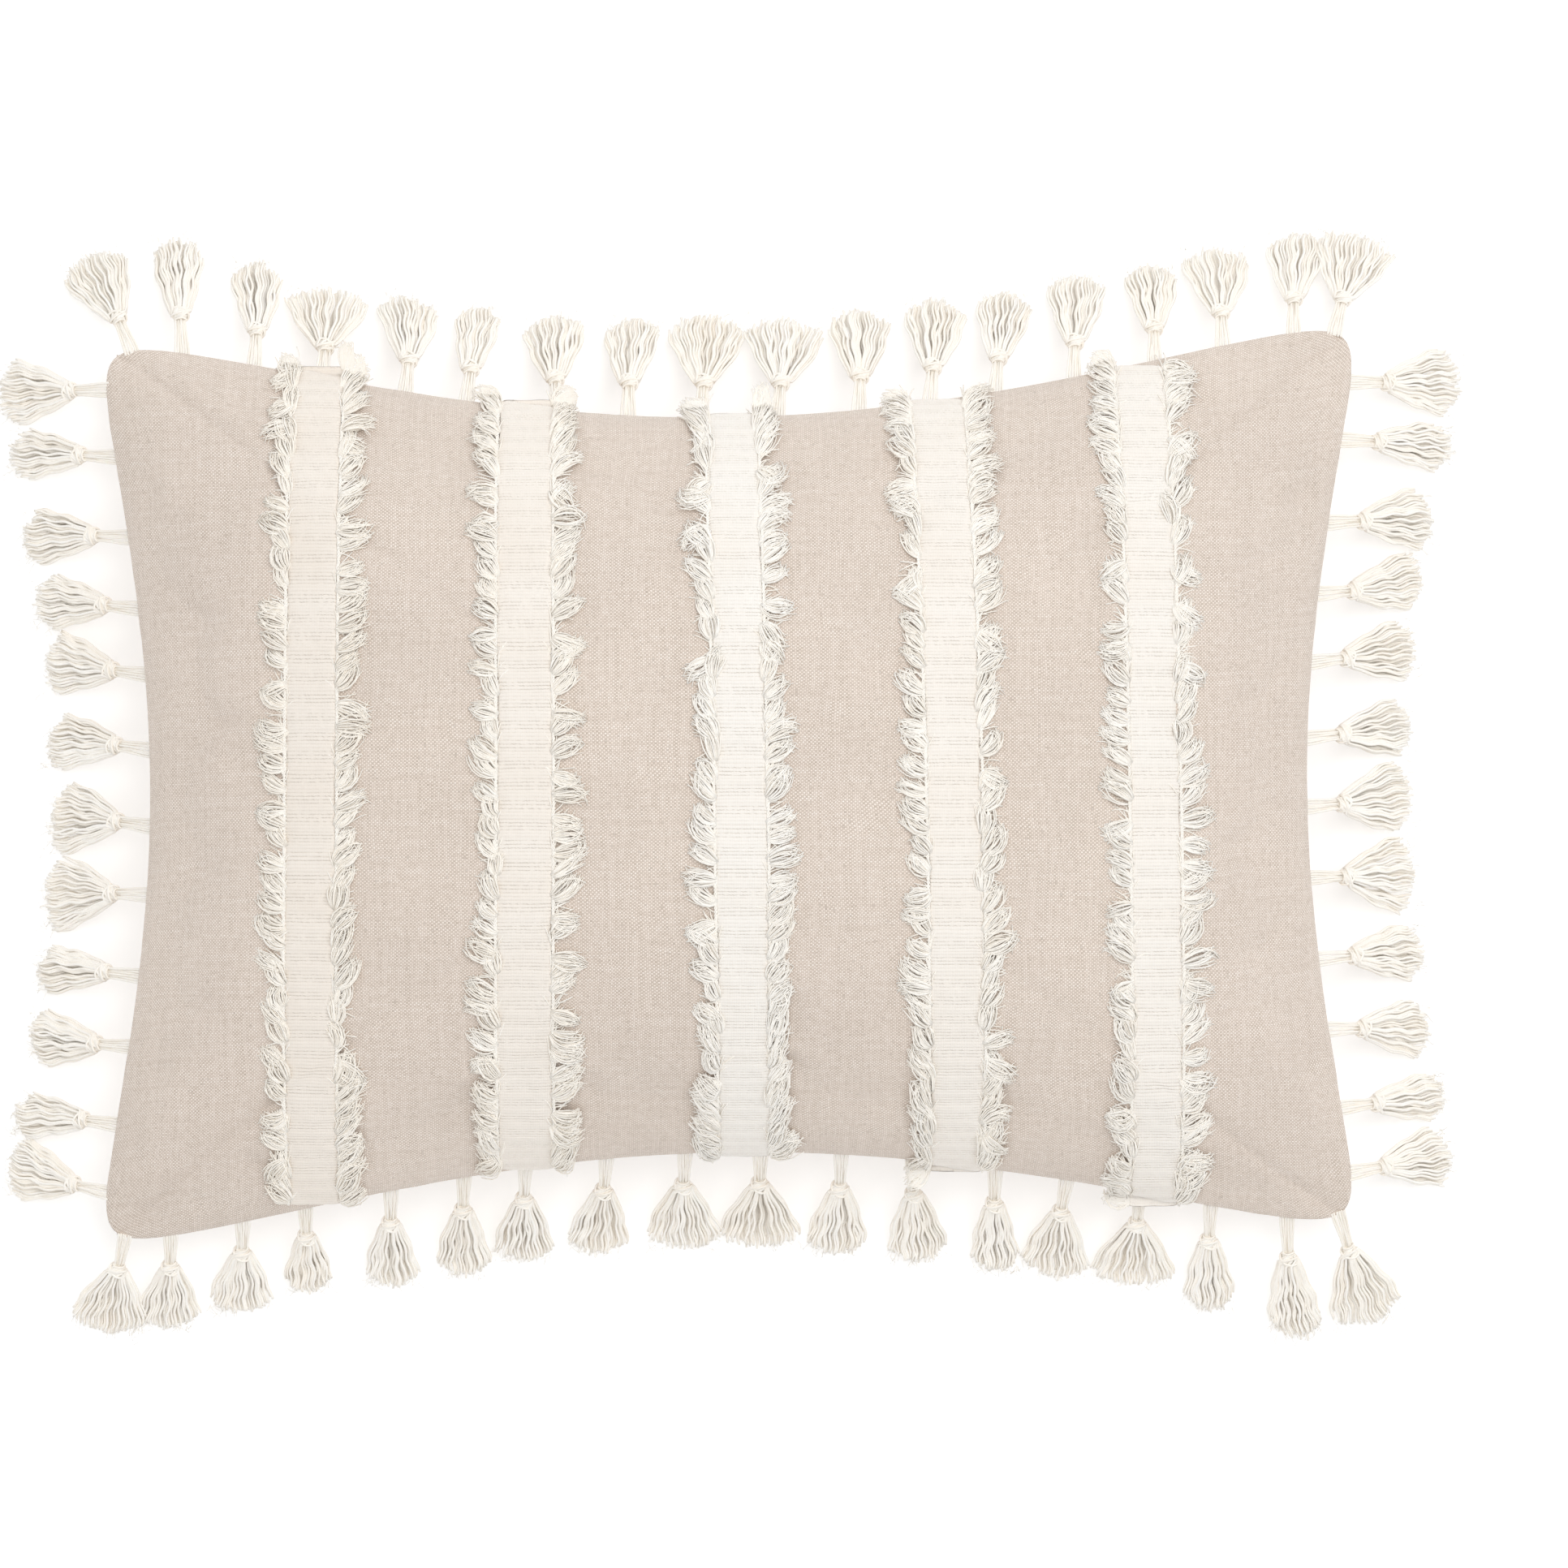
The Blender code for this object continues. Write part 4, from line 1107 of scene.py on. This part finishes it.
class Tassel:
    """A bundle of yarns from the seam to the resting plane; places on it are (q, a, b): the fraction
    of its reach, and metres across and out of its middle line."""

    def __init__(self, side, place, lean, width, reach, rng):
        outward = np.array(OUTWARDS[side], float)
        self.heading = outward * math.cos(lean) + abs(outward[[1, 0, 2]]) * math.sin(lean)
        self.across = np.cross([0, 0, 1.0], self.heading)
        self.root = seam_point(side, place)
        self.drop = self.root[2] - TIP_HEIGHT
        self.width, self.reach, self.rng = width, reach + REACH_MORE, rng
        self.bend = rng.normal(0, 0.05)

    def lay(self, q, a, b):
        left = np.clip(1 - q, 0, None)
        ahead, aside = self.reach * q, self.reach * self.bend * q * q
        centre = self.root + self.heading * ahead[..., None] + self.across * aside[..., None]
        centre[..., 2] = TIP_HEIGHT + self.drop * left ** DROOP
        # What lies lower is further from the camera, so it stands further out to look the same.
        below = (self.root[2] - centre[..., 2:]) / CAMERA_DISTANCE
        centre[..., :2] += (centre[..., :2] - CAMERA_PLACE) * np.clip(below, 0, None)
        slope = self.drop * DROOP * left ** (DROOP - 1) / self.reach
        normal = unit(self.heading * slope[..., None] + np.array([0, 0, 1.0]))
        return centre + self.across * a[..., None] + normal * b[..., None]

    def add_to(self, yarns):
        self.add_stem(yarns)
        self.add_skirt(yarns)
        self.add_ties(yarns)
        self.add_fibres(yarns)

    def add_stem(self, yarns):
        """Strands that come out of the seam side by side and gather at the neck."""
        rng = self.rng
        q = np.broadcast_to(np.linspace(-0.05, NECK + 0.05, STRAND_POINTS), (STRANDS, STRAND_POINTS))
        gather = smooth((q + 0.02) / NECK)
        lanes = np.linspace(-1, 1, STRANDS)[:, None]
        a = lanes * (2.7 * MM * (1 - gather) + 1.9 * MM * gather) + rng.normal(0, 0.12, (STRANDS, 1)) * MM
        b = 0.5 * MM * np.cos(lanes * 5 + rng.uniform(0, 6)) * gather + 0.2 * MM * np.sin(q * 30 + lanes * 9)
        yarns.add(self.lay(q, a, b), STRAND_YARN, tones=rng.uniform(0.1, 0.7, STRANDS))

    def add_skirt(self, yarns):
        """Yarns that cross in the knot, fan out and wave to a rounded, uneven edge."""
        rng, each = self.rng, (SKIRT_YARNS, 1)
        along = np.linspace(0, 1, SKIRT_RINGS)
        lateral = np.linspace(-1, 1, SKIRT_YARNS)[:, None] + rng.normal(0, 0.03, each)
        deep = rng.uniform(-1, 1, each) * np.sqrt(np.clip(1 - lateral**2, 0.02, 1))
        rho, phi = np.hypot(lateral, deep), np.arctan2(deep, lateral)
        end = 1.0 - 0.15 * lateral**2 + rng.normal(0, 0.02, each)
        q = NECK + (end - NECK) * along
        turn = phi - 1.7 * (1 - smooth((q - NECK) / (KNOT_END - NECK)))
        knot = smooth((q - NECK) / 0.06)
        flare = np.sin(np.clip((q - NECK - 0.05) / (0.95 - NECK), 0, 1) * math.pi / 2)
        half = 2.0 * MM * (1 - knot) + KNOT_WIDTH * knot + (self.width / 2 - KNOT_WIDTH) * flare
        thick = 1.8 * MM * (1 - knot) + KNOT_DEPTH * knot
        phase = 3.0 * lateral + rng.normal(0, 0.5, each)
        loose = np.clip(q - KNOT_END, 0, 0.25) / 0.25
        wave = 2 * math.pi * q * self.reach
        a = rho * np.cos(turn) * half + 0.6 * MM * loose * np.sin(wave / (11 * MM) + phase)
        b = rho * np.sin(turn) * thick + 0.4 * MM * loose * np.cos(wave / (9 * MM) + 1.7 * phase)
        paths = self.lay(q, a, b)
        paths[..., 2] = np.maximum(paths[..., 2], 0.6 * MM)
        yarns.add(paths, SKIRT_YARN * (1 - 0.3 * along ** 6), tones=rng.uniform(0.2, 1.0, SKIRT_YARNS))

    def add_ties(self, yarns):
        """Two slanting turns low on the knot, and a short one round the neck."""
        turns = np.linspace(0, 2 * math.pi, 22)
        for slant in (-1.0, 1.0):
            q = NECK + 0.05 + 1.3 * MM * slant * np.sin(turns + 0.6) / self.reach
            path = self.lay(q, 3.5 * MM * np.cos(turns), KNOT_DEPTH * np.sin(turns))
            yarns.add(path[None], TIE_YARN, tones=[self.rng.uniform(0.2, 0.8)])
        turns = np.linspace(0, 2 * math.pi * 1.5, 30)
        q = NECK - 0.015 + 1.0 * MM * turns / (2 * math.pi) / self.reach
        path = self.lay(q, 2.3 * MM * np.cos(turns), 1.9 * MM * np.sin(turns))
        yarns.add(path[None], NECK_YARN, tones=[0.2])

    def add_fibres(self, yarns):
        """Loose fibres at the ends."""
        rng, each = self.rng, (FIBRES, 1)
        along = np.linspace(0, 1, FIBRE_RINGS)
        q = 0.86 + 0.16 * rng.uniform(0, 1, each) + 0.07 * along * rng.uniform(0.4, 1.2, each)
        a = rng.uniform(-1, 1, each) * self.width / 2 + rng.normal(0, 1.6, each) * MM * along ** 1.5
        b = rng.uniform(-0.4, 1.0, each) * 2.0 * MM
        paths = self.lay(q, a, b)
        paths[..., 2] = np.maximum(paths[..., 2], 0.4 * MM)
        yarns.add(paths, FIBRE, sides=3, tones=rng.uniform(0.5, 1.0, FIBRES))


for side, tassels in TASSELS.items():
    for start in range(0, len(tassels), TASSELS_PER_GROUP):
        group = start // TASSELS_PER_GROUP + 1
        rng = np.random.default_rng(1000 + 50 * list(TASSELS).index(side) + group)
        yarns = Yarns()
        for place, lean, width, reach in tassels[start:start + TASSELS_PER_GROUP]:
            Tassel(side, place * MM, math.radians(lean), width * MM, reach * MM, rng).add_to(yarns)
        node = f"tassels_{side}_{group}"
        piece = yarns.make(f"tassel_yarns_{side}_{group}", cotton, "cotton")
        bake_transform(piece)
        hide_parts(node)


# ==== Floor, light and camera ====

FLOOR_HALF = 30.0
FLOOR_DROP = 0.5 * MM
LAMPS = (("key", (0.7, 0.7, 2.4), 1.8, 34), ("fill", (-0.8, -0.4, 2.4), 2.2, 14))


def stage():
    n = Nodes("floor")
    colour = n.ramp(n.noise(n.place(), 2.0), (0.0, (0.68, 0.68, 0.68)), (1.0, (0.70, 0.70, 0.70)))
    material = n.finish(colour, 0.9, specular=0.1)
    n.shader.inputs["Emission Color"].default_value = (1, 1, 1, 1)
    n.shader.inputs["Emission Strength"].default_value = 0.45
    mesh = bpy.data.meshes.new("floor")
    corners = [(x * FLOOR_HALF, y * FLOOR_HALF, 0) for x, y in ((-1, -1), (1, -1), (1, 1), (-1, 1))]
    mesh.from_pydata(corners, [], [(0, 1, 2, 3)])
    mesh.materials.append(material)
    floor = bpy.data.objects.new("floor", mesh)
    floor.location.z = -FLOOR_DROP
    bpy.context.scene.collection.objects.link(floor)


def lights():
    """A pale surround, brightest near the horizon, and two large soft lamps overhead."""
    world = bpy.data.worlds.new("studio")
    world.use_nodes = True
    tree = world.node_tree
    split = tree.nodes.new("ShaderNodeSeparateXYZ")
    tree.links.new(tree.nodes.new("ShaderNodeTexCoord").outputs["Generated"], split.inputs[0])
    level = tree.nodes.new("ShaderNodeMapRange")
    for socket, value in zip(level.inputs[1:5], (0.25, 0.6, 0.95, 0.38)):
        socket.default_value = value
    tree.links.new(split.outputs[2], level.inputs[0])
    background = tree.nodes["Background"]
    background.inputs["Color"].default_value = (1.0, 1.0, 1.0, 1.0)
    tree.links.new(level.outputs[0], background.inputs["Strength"])
    bpy.context.scene.world = world
    for name, place, size, power in LAMPS:
        lamp = bpy.data.lights.new(name, "AREA")
        lamp.size = size
        lamp.energy = power
        obj = bpy.data.objects.new(name, lamp)
        obj.location = place
        obj.rotation_euler = (-Vector(place)).to_track_quat("-Z", "Y").to_euler()
        bpy.context.scene.collection.objects.link(obj)


def camera():
    data = bpy.data.cameras.new("camera")
    data.sensor_width = 36.0
    data.lens = data.sensor_width * CAMERA_DISTANCE / VIEW_WIDTH
    data.clip_end = 100
    obj = bpy.data.objects.new("camera", data)
    obj.location = (*CAMERA_PLACE, SEAM_HEIGHT + CAMERA_DISTANCE)
    bpy.context.scene.collection.objects.link(obj)
    bpy.context.scene.camera = obj


stage()
lights()
camera()
bpy.context.scene.view_settings.view_transform = "Standard"
